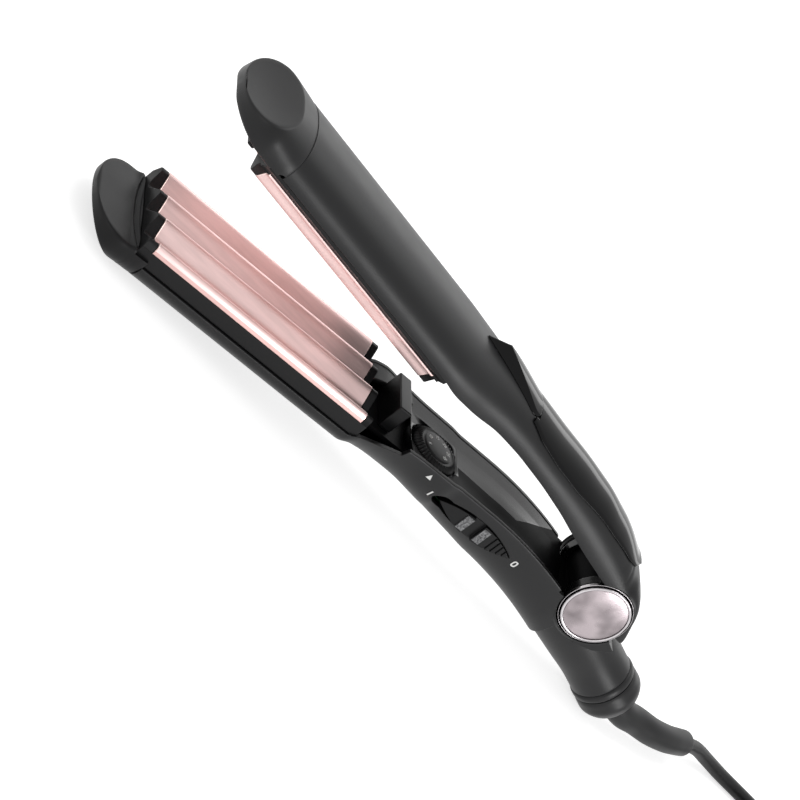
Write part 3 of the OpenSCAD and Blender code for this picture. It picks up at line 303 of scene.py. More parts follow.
# A glossier copy of the rose, painted lighter as a highlight on the plates' eased ends.
ROSE_EDGE_HIGHLIGHT = metal("rose_polished_highlight", (255, 226, 220), 0.16, (1, 14, 14))
CHROME = metal("chrome", (196, 192, 194), 0.14, (3, 1, 3), grain=0.01)
# The cap face's strong mottle is a painted reflection over its mauve-grey.
CAP_REFLECTION = metal("cap_face_painted_reflection", (172, 162, 165), 0.26, (1, 1, 1), grain=0.02, scale=85, deep=0.52)
STEEL = metal("steel", (168, 170, 174), 0.3, (12, 1, 1))
CERAMIC = moulded("ceramic", (236, 234, 228), 0.6, grain=0.1)
SILICONE = moulded("silicone", (190, 84, 46), 0.55, grain=0.1)
BOARD = moulded("circuit_board", (34, 84, 52), 0.35, grain=0.08)
INNER = moulded("inner_plastic", (58, 58, 60), 0.6, grain=0.1)
AMBER = moulded("indicator_amber", (236, 120, 40), 0.25)
WIRE = moulded("wire_sheath", (226, 224, 218), 0.45, grain=0.05)
RUBBER = moulded("cord_rubber", (24, 24, 25), 0.46, 0.25, grain=0.08, spread=0.05)
LENS = clear("clear_lens", srgb(200, 202, 206))
MARK = moulded("white_mark", (244, 244, 242), 0.5, grain=0.02, edge=None)
HOUSING = "satin_housing"
SLOTS = {HOUSING: SATIN, "gloss_trim": GLOSS, "wave_plate": ROSE, "ceramic": CERAMIC,
         "steel": STEEL, "silicone": SILICONE, "circuit_board": BOARD, "inner_plastic": INNER,
         "clear_lens": LENS, "indicator": AMBER, "wire": WIRE, "chrome": CHROME,
         "plug_metal": CHROME, "cord_rubber": RUBBER}
NODE_SLOT = {s["node"]: s["material_slot"] for s in frame["record"]["subparts"]}


def paint(obj, material):
    obj.data.materials.clear()
    obj.data.materials.append(material)


for node, obj in frame["nodes"].items():
    paint(obj, SLOTS[NODE_SLOT[node]])


# ---- mesh helpers
WELD_REACH = 1e-6
FLAT_ANGLE = radians(0.4)
BEVEL_ANGLE = radians(35)


def mesh_object(name, points, faces):
    mesh = bpy.data.meshes.new(name)
    mesh.from_pydata([tuple(p) for p in points], [], faces)
    mesh.validate()
    bm = bmesh.new()
    bm.from_mesh(mesh)
    bmesh.ops.recalc_face_normals(bm, faces=bm.faces)
    bm.to_mesh(mesh)
    bm.free()
    return add_object(name, mesh)


def loft(name, rings):
    """A closed skin over rings of points, with an end face on the first and the last."""
    n, m = len(rings[0]), len(rings)
    faces = [(i * n + j, i * n + (j + 1) % n, (i + 1) * n + (j + 1) % n, (i + 1) * n + j)
             for i in range(m - 1) for j in range(n)]
    faces += [tuple(range(n)), tuple((m - 1) * n + j for j in range(n))]
    return mesh_object(name, [p for r in rings for p in r], faces)


def revolve(name, profile, steps=128):
    """A closed outline of (radius, height), turned round Z."""
    points, faces, rows = [], [], []
    for r, z in profile:
        if r < 1e-6:
            rows.append([len(points)] * steps)
            points.append((0, 0, z))
        else:
            rows.append([len(points) + k for k in range(steps)])
            points += [(x, y, z) for x, y in disc((0, 0), r, steps)]
    for i, low in enumerate(rows):
        high = rows[(i + 1) % len(rows)]
        if low[0] == low[1] and high[0] == high[1]:
            continue
        for k in range(steps):
            q = [low[k], low[(k + 1) % steps], high[(k + 1) % steps], high[k]]
            faces.append(tuple(dict.fromkeys(q)))
    return mesh_object(name, points, faces)


def slab_of(name, outline, low, high):
    """An outline of (x, z) drawn out along Y."""
    return loft(name, [[(x, y, z) for x, z in outline] for y in (low, high)])


def block(name, x0, x1, y0, y1, z0, z1):
    return slab_of(name, [(x0, z0), (x1, z0), (x1, z1), (x0, z1)], y0, y1)


def disc(centre, r, steps=96):
    return [(centre[0] + r * cos(2 * pi * k / steps),
             centre[1] + r * sin(2 * pi * k / steps)) for k in range(steps)]


def bow(v, power):
    return copysign(abs(v) ** (2 / power), v)


def evaluated(obj):
    graph = bpy.context.evaluated_depsgraph_get()
    return bpy.data.meshes.new_from_object(obj.evaluated_get(graph))


def bake(obj):
    """Applies an object's modifiers to its mesh."""
    baked = evaluated(obj)
    obj.modifiers.clear()
    obj.data = baked


def combine(obj, others, how="DIFFERENCE"):
    for other in others:
        step = obj.modifiers.new("join", "BOOLEAN")
        step.operation, step.solver, step.object = how, "EXACT", other
        bake(obj)
        bpy.data.objects.remove(other)
    return obj


def moved(obj, place):
    obj.data.transform(place)
    return obj


def finish_piece(obj, place, body, material, slot, nodes=(), smooth=32, bevel=None):
    """Bevels a piece, puts it in the row's frame, and gives it its finish and its body."""
    if bevel:
        edge = obj.modifiers.new("edge", "BEVEL")
        edge.width, edge.segments, edge.angle_limit = bevel, 3, BEVEL_ANGLE
        bake(obj)
    paint(moved(obj, place), material)
    obj.data.shade_smooth()
    obj.data.set_sharp_from_angle(angle=radians(smooth))
    if bevel:
        obj.modifiers.new("even", "WEIGHTED_NORMAL").keep_sharp = True
        bake(obj)
    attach(obj, body)
    if nodes:
        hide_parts(*nodes)
    return obj


def dressed(node, place, body, material, bevel=None, reshape=None, slices=()):
    """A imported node's own shape, welded and shaded smoothly.

    Slices are cuts given as (point, direction) in mm; reshape moves the points, in mm.
    """
    bm = bmesh.new()
    bm.from_mesh(frame["nodes"][node].data)
    bmesh.ops.remove_doubles(bm, verts=bm.verts, dist=WELD_REACH)
    bmesh.ops.dissolve_limit(bm, angle_limit=FLAT_ANGLE, verts=bm.verts, edges=bm.edges)
    for spot, across in slices:
        bmesh.ops.bisect_plane(bm, geom=bm.verts[:] + bm.edges[:] + bm.faces[:],
                               plane_co=place @ Vector(spot),
                               plane_no=place.to_3x3() @ Vector(across))
    if reshape:
        back = place.inverted()
        for v in bm.verts:
            v.co = place @ reshape(back @ v.co)
    clean = bpy.data.meshes.new(node + "_skin")
    bm.to_mesh(clean)
    bm.free()
    return finish_piece(add_object(clean.name, clean), Matrix.Identity(4), body, material,
                        HOUSING, [node], 30, bevel and bevel * MM)


def second_material(obj, material, place, wanted):
    """Gives another material to the faces whose middle, in mm, is wanted."""
    obj.data.materials.append(material)
    back = place.inverted()
    for face in obj.data.polygons:
        if wanted(back @ face.center):
            face.material_index = len(obj.data.materials) - 1


def line(table, x):
    """A broken line through (x, value) pairs, level beyond its ends."""
    if x <= table[0][0]:
        return table[0][1]
    for (x0, v0), (x1, v1) in zip(table, table[1:]):
        if x <= x1:
            return v0 + (v1 - v0) * (x - x0) / (x1 - x0)
    return table[-1][1]


def eased(table, x, reach=4.0):
    """The same line with its corners rounded over a reach either way."""
    return sum(line(table, x + reach * k / 4) for k in range(-4, 5)) / 9


def clamped(v):
    return min(1, max(0, v))


def spaced(x0, x1, n):
    return [x0 + (x1 - x0) * i / n for i in range(n + 1)]


def catmull(path, n):
    """A smooth line through the points, with n steps from each to the next."""
    out = []
    pts = [Vector(p) for p in path]
    m = len(pts) - 1
    for i in range(m):
        a, b, c, d = pts[max(0, i - 1)], pts[i], pts[i + 1], pts[min(m, i + 2)]
        for k in range(n):
            t = k / n
            out.append(0.5 * (2 * b + (c - a) * t + (2 * a - 5 * b + 4 * c - d) * t * t
                              + (3 * b - a - 3 * c + d) * t ** 3))
    return out + [pts[m]]


def tube(name, path, radii, sides):
    rings = []
    for i, p in enumerate(path):
        ahead = (path[min(i + 1, len(path) - 1)] - path[max(i - 1, 0)]).normalized()
        u = Vector((0, 0, 1)).cross(ahead).normalized()
        v = ahead.cross(u)
        rings.append([p + radii[i] * (c * u + s * v) for c, s in disc((0, 0), 1, sides)])
    return loft(name, rings)


# ---- cord, sleeve and plug
PLUG_W = 26.0
COIL_CENTRE = Vector((320, -6, 0))
COIL_RADII = (45.6, 39.2, 32.8, 26.4)
COIL_Z = (3.2, 9.6)
COIL_END, COIL_LIFT, COIL_STEP = 2700, 1335, 12
SWIVEL_FACE = LOWER @ (SEAM + SWIVEL_LEN * TAIL_DIR) / MM
SLEEVE_PATH = [LOWER @ (SEAM - 9.0 * TAIL_DIR) / MM, LOWER @ SEAM / MM, SWIVEL_FACE,
               (174, 1.6, 9.9), (183, 5, 9.7), (194.5, 8.2, 9.6), (206, 13.4, 9.6),
               (214.5, 18.7, 9.6), (219, 21.8, 9.5)]
CORD_ROUTE = [(219, 21.8, 9.5), (233, 31, 8), (246, 36.6, 5.2), (259, 39.3, 3.5), (273, 40, 3.2),
              (289, 40, 3.2), (305, 39.8, 3.2)]
PLUG_TAIL = [(311, -51.2, 9.4), (299, -51.8, 8.4), (288, -52, 7.4), (278, -52, 7)]
SLEEVE_TAPER = 0.7
SLEEVE_END = 1.1
PLUG_SPOT = Vector(PLUG_TAIL[3])
RELIEF_GROOVES = (281, 306, 5.2, 0.35)


def coil_line():
    """Flat turns inwards on the table, then outwards on top of them, a diameter apart."""
    points = []
    for turned in range(0, COIL_END + 1, COIL_STEP):
        turn, part = divmod(turned, 360)
        here, after, start = ((turn, min(turn + 1, 3), 320) if turn < 4
                              else (7 - turn, max(6 - turn, 0), 215))
        low, high = COIL_RADII[here], COIL_RADII[after]
        r = low + (high - low) * clamped((part - start) / 40)
        a = radians(90 - turned)
        z = COIL_Z[0] + (COIL_Z[1] - COIL_Z[0]) * clamped((turned - COIL_LIFT) / 60)
        points.append(COIL_CENTRE + Vector((r * cos(a), r * sin(a), z)))
    return points


def cord_line():
    lead = catmull(SLEEVE_PATH[2:], 6)
    out = catmull(CORD_ROUTE, 6)[1:]
    return lead + out + coil_line() + catmull(PLUG_TAIL[:2], 2)


def make_cord():
    curve = bpy.data.curves.new("cord", "CURVE")
    curve.dimensions = "3D"
    curve.bevel_depth = CORD_D / 2 * MM
    curve.bevel_resolution = 5
    curve.use_fill_caps = True
    points = cord_line()
    spline = curve.splines.new("POLY")
    spline.points.add(len(points) - 1)
    for spot, p in zip(spline.points, points):
        spot.co = (*(p * MM), 1)
    cord = add_object("cord", curve)
    curve.materials.append(RUBBER)
    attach(cord, "lower_arm")
    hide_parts("cord_tube", "cord_coil")
    return cord


def make_sleeve():
    path = catmull(SLEEVE_PATH, 6)
    level, last = 12, len(path) - 1
    radii = [SLEEVE_D / 2 - SLEEVE_TAPER * max(0, i - level) / (last - level)
             for i in range(last + 1)]
    end = (path[-1] - path[-2]).normalized()
    for k in range(1, 6):
        a = radians(18 * k - 9)
        path.append(path[last] + end * SLEEVE_END * sin(a))
        radii.append(radii[last] - SLEEVE_END * (1 - cos(a)))
    return finish_piece(tube("sleeve", path, radii, 48), ROW, "lower_arm", RUBBER, "cord_rubber",
                        ["cord_sleeve"])


def make_plug():
    tail = catmull(PLUG_TAIL + [PLUG_SPOT - Vector((4, 0, 0))], 6)
    radii = [4 + 1.8 * i / (len(tail) - 1) for i in range(len(tail))]
    relief = tube("plug_relief", tail, radii, 32)
    x0, x1, pitch, depth = RELIEF_GROOVES
    for v in relief.data.vertices:
        groove = sin(v.co.x * 2 * pi / pitch)
        centre = Vector((v.co.x, PLUG_SPOT.y, 7.6))
        if x0 < v.co.x < x1:
            v.co += (centre - v.co).normalized() * depth * max(0, groove)
    finish_piece(relief, ROW, "lower_arm", RUBBER, "cord_rubber")
    stations = [(0, 6, 5.6), (-6, 9, 6.4), (-12, PLUG_W / 2 - 0.6, 6.8), (-20, PLUG_W / 2, 6.8),
                (-34, PLUG_W / 2, 6.8), (-35.4, PLUG_W / 2 - 0.6, 6.4), (-36, PLUG_W / 2 - 2, 5.4)]
    rings = [[PLUG_SPOT + Vector((x, hw * bow(y, 4), ht * bow(z, 4)))
              for y, z in disc((0, 0), 1, 48)] for x, hw, ht in stations]
    body = loft("plug", rings)
    return [relief, finish_piece(body, ROW, "lower_arm", RUBBER, "cord_rubber", ["plug_body"])]


cord = make_cord()
sleeve = make_sleeve()
plug = make_plug()


# ---- the arms' lines
def bend(x):
    return max(0, x - BEND_X) ** 2 / (2 * BEND_R)


def past_plate(base, *pairs):
    """(distance past the plate, value over base) pairs, as (x, value)."""
    return [(PLATE_X1 + x, base + v) for x, v in pairs]


def before_hinge(base, *pairs):
    """The same, from the distance before the hinge."""
    return [(HINGE_X - x, base + v) for x, v in pairs]


LOWER_RIM = [(PLATE_X1 + 1, LOW_RIM), (PLATE_X1 + 7, -LOW_GRIP_RIM - 1.5),
             (PLATE_X1 + 13, -LOW_GRIP_RIM + 0.5), (DIAL_X, -LOW_GRIP_RIM + 0.3),
             (BEND_X, -LOW_GRIP_RIM)]
LOWER_DEPTH = [(PLATE_X1 + 14, -LOW_GRIP_RIM + 0.45 - LOW_BACK - 0.6),
               (RECESS_X1 + 8, NECK_DEPTH + 0.6), (GRIP_FULL_X, GRIP_DEPTH)]
LOWER_HW = [*past_plate(HEAD_HW, (1, 0), (11, -1.3)), *past_plate(GRIP_HW, (23, 2.9)),
            (DIAL_X - 7, GRIP_HW + 1.5), (DIAL_X + DIAL_D / 2 - 1, GRIP_HW + 1.1),
            (DIAL_X + DIAL_D / 2 + 2, GRIP_HW), *before_hinge(GRIP_HW, (13, 0), (0, -1))]
UPPER_RIM = [*past_plate(UP_RIM, (1, 0), (9, -1.4), (25, -1.2), (37, 0.6)), *before_hinge(
    UP_RIM, (86, 1.2), (68, 0.8), (51, -0.6), (43, -1.9), (28, -3.6), (11, -5))]
UPPER_BACK = [*past_plate(UP_BACK, (35, 0.2)), *before_hinge(
    UP_RIM + UP_GRIP_DEPTH, (88, 1.2), (71, 0.7), (53, 0.8), (35, 0), (18, -2.6), (10, -4.8),
    (3, -7.4))]
UPPER_HW = [*past_plate(HEAD_HW, (3, 0), (13, -1.5)), *past_plate(GRIP_HW, (25, 2.7), (37, 0.5)),
            *before_hinge(GRIP_HW, (88, -0.2))]
LOWER_POWER, UPPER_POWER, TIP_POWER = 2.5, 2.3, 3.0


def lower_rim(x):
    return eased(LOWER_RIM, x, 1.5) - bend(x)


def lower_back(x):
    if x < PLATE_X1 + 14:
        return line([(-PLATE_X1, LOW_BACK), (PLATE_X1 + 14, LOW_BACK + 0.6)], x)
    return lower_rim(x) - eased(LOWER_DEPTH, x, 3)


def lower_hw(x):
    return eased(LOWER_HW, x, 1.5 if x > DIAL_X else 4)


def upper_rim(x):
    return eased(UPPER_RIM, x)


def upper_back(x):
    return eased(UPPER_BACK, x)


def upper_hw(x):
    return eased(UPPER_HW, x)


def arc(hw, rim, back, power, steps):
    return [(-hw * bow(cos(a), power), rim + (back - rim) * bow(sin(a), power))
            for a in spaced(0, pi, steps)]


def shell_ring(x, hw, rim, back, power, steps=44, lip=0.6):
    """One section of a housing: the outer skin with rounded rims, and the inner skin."""
    down = copysign(1, back - rim)
    lips = [(hw - lip, rim), (hw - 0.3 * lip, rim + 0.08 * down),
            (hw - 0.08 * lip, rim + 0.3 * down), (hw, rim + lip * down)]
    outer = [(-y, z) for y, z in lips] + arc(hw, rim, back, power, steps)[1:-1] + lips[::-1]
    inner = arc(hw - WALL, rim, back - down * WALL, power, steps)
    return [(x, y, z) for y, z in outer + inner[::-1]]


# ---- housings
HOLLOW_R = CAP_D / 2 + 0.6
LOW_HOLLOW_R = CAP_D / 2 + 1.3
LOW_BOSS_R = HOLLOW_R + 3.2
BOSS_HW = GRIP_HW - 0.3
COLLAR_LEN = 4.0
TAIL_R = TAIL_D / 2
TAIL_ROOT = TAIL_REACH + 6
SCREW_X = (-38, 38, 162)
WINDOW_NOSE = (SWITCH_X - SWITCH_LEN / 2 + 6.8, SWITCH_Z + 0.3)
NOSE_SPREAD = (6.3, 3.5)


def at_hinge(outline):
    return [(HINGE_X + x, HINGE_Z + z) for x, z in outline]


def tail_line(inset):
    return [(GRIP_HW - 1.2 - inset, -TAIL_ROOT), (GRIP_HW - 1.9 - inset, -TAIL_REACH + 4),
            (TAIL_R + 1.2 - inset, -TAIL_REACH + 17), (TAIL_R + 0.1 - inset, -TAIL_REACH + 29),
            (TAIL_R - inset, -COLLAR_LEN - SEAT)]


def smooth_outline(points, n=6):
    return [tuple(p) for p in catmull(points, n)]


def tail_barrel():
    end = -COLLAR_LEN - SEAT
    return moved(revolve("barrel", [(0, -TAIL_ROOT)] + smooth_outline(tail_line(0))[:-1]
                         + [(TAIL_R, end - 0.4), (TAIL_R - 0.15, end), (0, end)]), ON_TAIL)


def tail_bore():
    mouth = GRIP_HW - 5
    return moved(revolve("bore", [(0, -TAIL_ROOT - 12), (mouth, -TAIL_ROOT - 12),
                                  (mouth, -TAIL_ROOT + 1.3)] + tail_line(WALL)[1:]
                         + [(TAIL_R - WALL, 0), (0, 0)]), ON_TAIL)


def leaf(length, height, steps=40):
    """The outline of two arcs that meet in points at both ends."""
    r = (length ** 2 + height ** 2) / (4 * height)
    half = asin(length / 2 / r)
    top = [(r * sin(a), r * cos(a) - r + height / 2) for a in spaced(-half, half, steps)]
    return top + [(x, -z) for x, z in top[-2:0:-1]]


def hinge_boss():
    side = [(LOW_HOLLOW_R + 0.5, BOSS_HW), (LOW_HOLLOW_R + 1.3, BOSS_HW - 0.6),
            (LOW_HOLLOW_R + 1.9, BOSS_HW - 1.6), (LOW_BOSS_R, BOSS_HW - 3.2)]
    return moved(revolve("boss", [(0, BOSS_HW)] + side + [(r, -y) for r, y in side[::-1]]
                         + [(0, -BOSS_HW)], 144), ON_HINGE)


def hinge_cuts():
    """The room for the hinge and the upper arm's ring, and the way through to the tail."""
    hollow = revolve("hollow", [(0, -60), (HOLLOW_R, -60), (HOLLOW_R, 0.2), (LOW_HOLLOW_R, 0.2),
                                (LOW_HOLLOW_R, 60), (0, 60)], 96)
    split = at_hinge([(-19, -2.8), (10, -4.3), (24, -9.6), (24, 40), (-19, 40)])
    return [moved(hollow, ON_HINGE), slab_of("split", split, -FAR, FAR), tail_bore(),
            block("way", HINGE_X - LOW_BOSS_R - 1, HINGE_X - 8, -BOSS_HW + WALL, BOSS_HW - WALL,
                  HINGE_Z - 9.5, 60)]


def side_cuts():
    """The switch's window and the recess, both open to the near side."""
    window = [(SWITCH_X + x, SWITCH_Z + z) for x, z in leaf(SWITCH_LEN, SWITCH_H)]
    nose = [(WINDOW_NOSE[0] + NOSE_SPREAD[0] * x, WINDOW_NOSE[1] + NOSE_SPREAD[1] * z)
            for x, z in disc((0, 0), 1, 60)]
    recess = [(PLATE_X1 + 1.5, LOW_RIM + 0.4), (PLATE_X1 + 4, RECESS_RIM - 0.8),
              (PLATE_X1 + 8, RECESS_RIM), (RECESS_X1 - 3, RECESS_RIM + 2.8),
              (RECESS_X1 - 1.8, -LOW_GRIP_RIM + 0.5), (RECESS_X1 - 1.4, 0), (PLATE_X1 + 1.5, 0)]
    return [slab_of("window", window, -FAR, -6), slab_of("window_nose", nose, -FAR, -6),
            slab_of("recess", recess, -FAR, -8)]


def screw_well(x):
    return moved(revolve("screw_well", [(0, -3), (3.0, -3), (3.0, 1.1), (1.6, 1.1), (1.6, 4),
                                        (0, 4)], 32), Matrix.Translation((x, 0, lower_back(x))))


def make_lower_housing():
    stations = (spaced(HEAD_X0, PLATE_X1, 6) + spaced(PLATE_X1 + 1, 108, 46)
                + spaced(110, HINGE_X - 6, 48))
    shell = loft("lower_housing", [shell_ring(x, lower_hw(x), lower_rim(x), lower_back(x),
                                              LOWER_POWER) for x in stations])
    lip = at_hinge([(12, -4.9), (19.9, -8.7), (19.3, -10.4), (13.3, -14.5), (5, -17.3), (0, -10)])
    combine(shell, [hinge_boss(), slab_of("lip", lip, -BOSS_HW + 0.1, BOSS_HW - 0.1),
                    tail_barrel()], "UNION")
    combine(shell, hinge_cuts() + side_cuts() + [screw_well(x) for x in SCREW_X])
    finish_piece(shell, *ON_LOWER, SATIN, HOUSING, ["lower_shell"])


UP_RING = [(-1.3, 21.3), (16.5, 18.35), (29.5, 17.2), (44, 17.2), (61.6, 18.1), (78, 19.4),
           (88, 20.7), (98, 22.2), (102.1, 23.6), (108.2, 25.6)]
FAN_START, FAN_ROOT = 108.2, 10.7
FAN_LEAD = 12.0
RING_POWER = [(45, 8.0), (95, UPPER_POWER)]


def stood(ring, root, angle):
    """A section of (x, y, height) stood on a root (x, z), leaning at an angle in degrees."""
    a = radians(angle)
    return [(root[0] + h * cos(a), y, root[1] + h * sin(a)) for _, y, h in ring]


def fan_rings():
    """The housing's sections as they turn round the hinge, down to the lip below it."""
    lead_x = HINGE_X - FAN_LEAD
    lead_root = Vector((lead_x, upper_rim(lead_x)))
    lead_height = upper_back(lead_x) - upper_rim(lead_x)
    a = radians(FAN_START)
    first = Vector((HINGE_X, HINGE_Z)) + FAN_ROOT * Vector((cos(a), sin(a)))
    rings = []
    for t in spaced(0, 1, 8)[1:-1]:
        height = lead_height + (UP_RING[-1][1] - FAN_ROOT - lead_height) * t
        rings.append(stood(shell_ring(0, upper_hw(lead_x), 0, height, UPPER_POWER),
                           lead_root.lerp(first, t), 90 + (FAN_START - 90) * t))
    for angle in spaced(FAN_START, UP_RING[0][0], 56):
        a = radians(angle)
        ease = 0.35 * max(0, 1 - (angle - UP_RING[0][0]) / 2.2) ** 2
        root = (HINGE_X + FAN_ROOT * cos(a), HINGE_Z + FAN_ROOT * sin(a))
        height = eased(UP_RING, angle, 5) - FAN_ROOT - ease
        ring = shell_ring(0, upper_hw(HINGE_X) - ease, 0, height, eased(RING_POWER, angle, 5))
        rings.append(stood(ring, root, angle))
    return rings


def make_upper_housing():
    stations = (spaced(HEAD_X0, PLATE_X1, 6)
                + spaced(PLATE_X1 + 1.5, HINGE_X - FAN_LEAD, 84))
    shell = loft("upper_housing", [shell_ring(x, upper_hw(x), upper_rim(x), upper_back(x),
                                              UPPER_POWER) for x in stations] + fan_rings())
    combine(shell, [slab_of("hollow", disc((HINGE_X, HINGE_Z), HOLLOW_R), -FAR, FAR)])
    finish_piece(shell, *ON_UPPER, SATIN, HOUSING, ["upper_shell"])


# ---- tips
NOSE_POWER = 2.12
FLUSH = 3.0
SKIRT_END = HEAD_X0 - 0.03


def nose_run(nose):
    return SKIRT_X - 6 - nose


def nose_hw(x, nose):
    run = nose_run(nose)
    share = max(0, (nose + run - x) / run)
    bulge = NOSE_BULGE * min(1, (SKIRT_END - x) / FLUSH) ** 0.5
    return (HEAD_HW + bulge) * (1 - min(1, share) ** NOSE_POWER) ** (1 / NOSE_POWER)


def nose_stations(nose):
    run = nose_run(nose)
    return (spaced(SKIRT_END, SKIRT_END - FLUSH, 6) + spaced(SKIRT_END - FLUSH - 1, SKIRT_X, 3)
            + spaced(SKIRT_X - 0.3, nose + run + 0.4, 20)
            + [nose + run * (1 - sin(radians(a))) for a in range(0, 80, 3)]
            + [nose + d for d in (0.8, 0.5, 0.3, 0.15, 0.03)])


def blunt(before, corner, after, reach, n=5, reach_after=None):
    """Points that round a corner between its two neighbours."""
    a = corner + (before - corner).normalized() * reach
    b = corner + (after - corner).normalized() * (reach_after or reach)
    return [(1 - t) ** 2 * a + 2 * t * (1 - t) * corner + t * t * b for t in spaced(0, 1, n)]


def nose_section(x, nose, pad, back, cut, power, across=14, steps=26):
    """A nose's section: a pad that pad(x, y) shapes, the side wall and the slanted cut."""
    middle = pad(x, 0)
    down = copysign(1, back - middle)
    hw = nose_hw(x, nose)
    r = min(NOSE_ROUND, hw * 0.4)
    tip = max(0, 1 - (x - nose) / NOSE_ROUND)
    sink = down * 0.8 * NOSE_ROUND * (1 - sqrt(max(0, 1 - tip * tip)))
    rim = pad(x, hw - r) + sink + down * r
    share = min(0.9995, max(0.02, (cut - rim) / (back - rim)))
    last = asin(share ** (power / 2))
    top = [Vector((y, pad(x, y) + sink)) for y in spaced(0, hw - r, across)]
    corner = [Vector((hw - r + r * sin(a), rim - down * r * cos(a)))
              for a in spaced(0.3, 1.4, 4)]
    wall = [Vector((hw * bow(cos(a), power), rim + (back - rim) * bow(sin(a), power)))
            for a in spaced(last * 0.03, last, steps)]
    edge = min(1.1, wall[-1].x * 0.45)
    wall = [p for p in wall[:-1] if (p - wall[-1]).length > edge] + blunt(
        wall[-2], wall[-1], Vector((0, wall[-1].y)), edge)
    run = min(1, (x - nose) / FACET_RUN)
    dip = down * FACET_DIP * sin(pi * run)
    flat = [Vector((wall[-1].x * t, wall[-1].y - dip * (1 - t * t))) for t in spaced(0.92, 0, 8)]
    right = top + corner + resample(wall, steps) + flat[:-1]
    left = [Vector((-p.x, p.y)) for p in right[:0:-1]]
    return [(x, p.x, p.y) for p in left + right + flat[-1:]]


def resample(points, count):
    """The same line with a fixed number of points, evenly spread along it."""
    lengths = [0.0]
    for a, b in zip(points, points[1:]):
        lengths.append(lengths[-1] + (b - a).length)
    out, i = [], 0
    for k in range(count + 1):
        want = lengths[-1] * k / count
        while i < len(points) - 2 and lengths[i + 1] < want:
            i += 1
        span = max(1e-9, lengths[i + 1] - lengths[i])
        out.append(points[i].lerp(points[i + 1], clamped((want - lengths[i]) / span)))
    return out


GROOVES = [(-62.7, 2.6, 0.8), (-60.6, 1.6, 0.45)]
GROOVE_HALF = 0.55
BANK_X = -64.5
BANK_RISE = 1.5
FACET_RUN = 21.0
FACET_DIP = 0.7
LUG_BLOCK = (-64.0, -60.6, -7.2, -2.8, -3.0, UP_PAD_FRONT + 1)


def low_pad(x, y):
    """The finger pad ends in two shallow grooves that bow away from the nose."""
    z = LOW_PAD
    for middle, bow_out, depth in GROOVES:
        z -= depth * exp(-((x - middle - bow_out * (y / 24) ** 2) / GROOVE_HALF) ** 2)
    return z + BANK_RISE * clamped((x - BANK_X) / (SKIRT_X - BANK_X)) ** 2


def up_pad(x, y):
    return line([(NOSE_X, UP_PAD_NOSE), (SKIRT_X, UP_PAD_FRONT)], x)


def skirt_hollow(rim, back, power):
    hw = HEAD_HW + NOSE_BULGE - WALL
    inner = arc(hw, rim, back + copysign(WALL, rim - back), power, 44)
    ring = [(-hw, 0), *inner, (hw, 0)]
    return loft("skirt_hollow", [[(x, y, z) for y, z in ring] for x in (SKIRT_END + 1, SKIRT_X)])


def make_lower_tip():
    nose = NOSE_X + TIP_SETBACK
    slope = tan(radians(FACET_ANGLE))
    rim = LOW_PAD - 1.2
    tip = loft("lower_tip", [nose_section(x, nose, low_pad, LOW_BACK,
                                          LOW_PAD - NOSE_T - (x - nose) * slope, TIP_POWER)
                             for x in nose_stations(nose)])
    combine(tip, [skirt_hollow(rim, LOW_BACK, TIP_POWER),
                  block("skirt_cut", SKIRT_X, 0, -FAR, FAR, rim, FAR)])
    # The lower tip gets the darker satin copy: painted shade on a cap of the same plastic as the upper tip.
    finish_piece(tip, *ON_LOWER, SATIN_DARK, HOUSING, ["lower_tip_cap"])


def make_upper_tip():
    slope = tan(radians(FACET_ANGLE))
    rim = UP_PAD_FRONT + 1.2
    powers = [(SKIRT_X - 8, TIP_POWER), (SKIRT_END, UPPER_POWER)]
    tip = loft("upper_tip", [nose_section(x, NOSE_X, up_pad, UP_BACK,
                                          UP_FACET + (x - NOSE_X) * slope, line(powers, x))
                             for x in nose_stations(NOSE_X)])
    combine(tip, [skirt_hollow(rim, UP_BACK, UPPER_POWER),
                  block("skirt_cut", SKIRT_X, 0, -FAR, FAR, -FAR, rim),
                  slab_of("rim_notch", disc((SKIRT_END - 0.6, rim - 0.2), 2.1, 40), -FAR, FAR)])
    finish_piece(tip, *ON_UPPER, SATIN, HOUSING, ["upper_tip_cap"])
    finish_piece(block("upper_tip_lug", *LUG_BLOCK), *ON_UPPER, POST, HOUSING, bevel=0.7)


# ---- wave plates
CREST_ROUND = 2.6
PLATE_HW = 1.5 * WAVE_PITCH + CREST_FLAT / 2 + 0.4
BASE_HW = PLATE_HW - 2
PLATE_BOTTOM = -(WAVE_DEPTH + PLATE_BASE)
UP_CREST = PLATES_GAP - WAVE_DEPTH
UP_VALLEY = PLATES_GAP
UP_EDGE = WAVE_PITCH + CREST_FLAT / 2 + 2.1
UP_SIDE = UP_VALLEY + 1
UP_PLATE_BACK = UP_VALLEY + PLATE_BASE
UP_HW = UP_EDGE + 2.2
UP_BASE_HW = UP_HW - 1.4


def flat_wave(crest, valley):
    """The wave's corners as (y, z), with flats on the crests and in the valleys."""
    corners = []
    for k in range(-2, 3):
        y, z = k * WAVE_PITCH / 2, crest if k % 2 else valley
        corners += [(y - CREST_FLAT / 2, z), (y + CREST_FLAT / 2, z)]
    return corners


def rounded(corners, reach, n=6):
    out = [Vector(corners[0])]
    for a, b, c in zip(corners, corners[1:], corners[2:]):
        a, b, c = Vector(a), Vector(b), Vector(c)
        out += blunt(a, b, c, min(reach, 0.48 * (a - b).length), n,
                     min(reach, 0.48 * (c - b).length))
    return out + [Vector(corners[-1])]


def foot(hw, side, back):
    """The plate's narrower body behind its face."""
    return [Vector(p) for p in ((hw, side), (hw, back), (-hw, back), (-hw, side))]


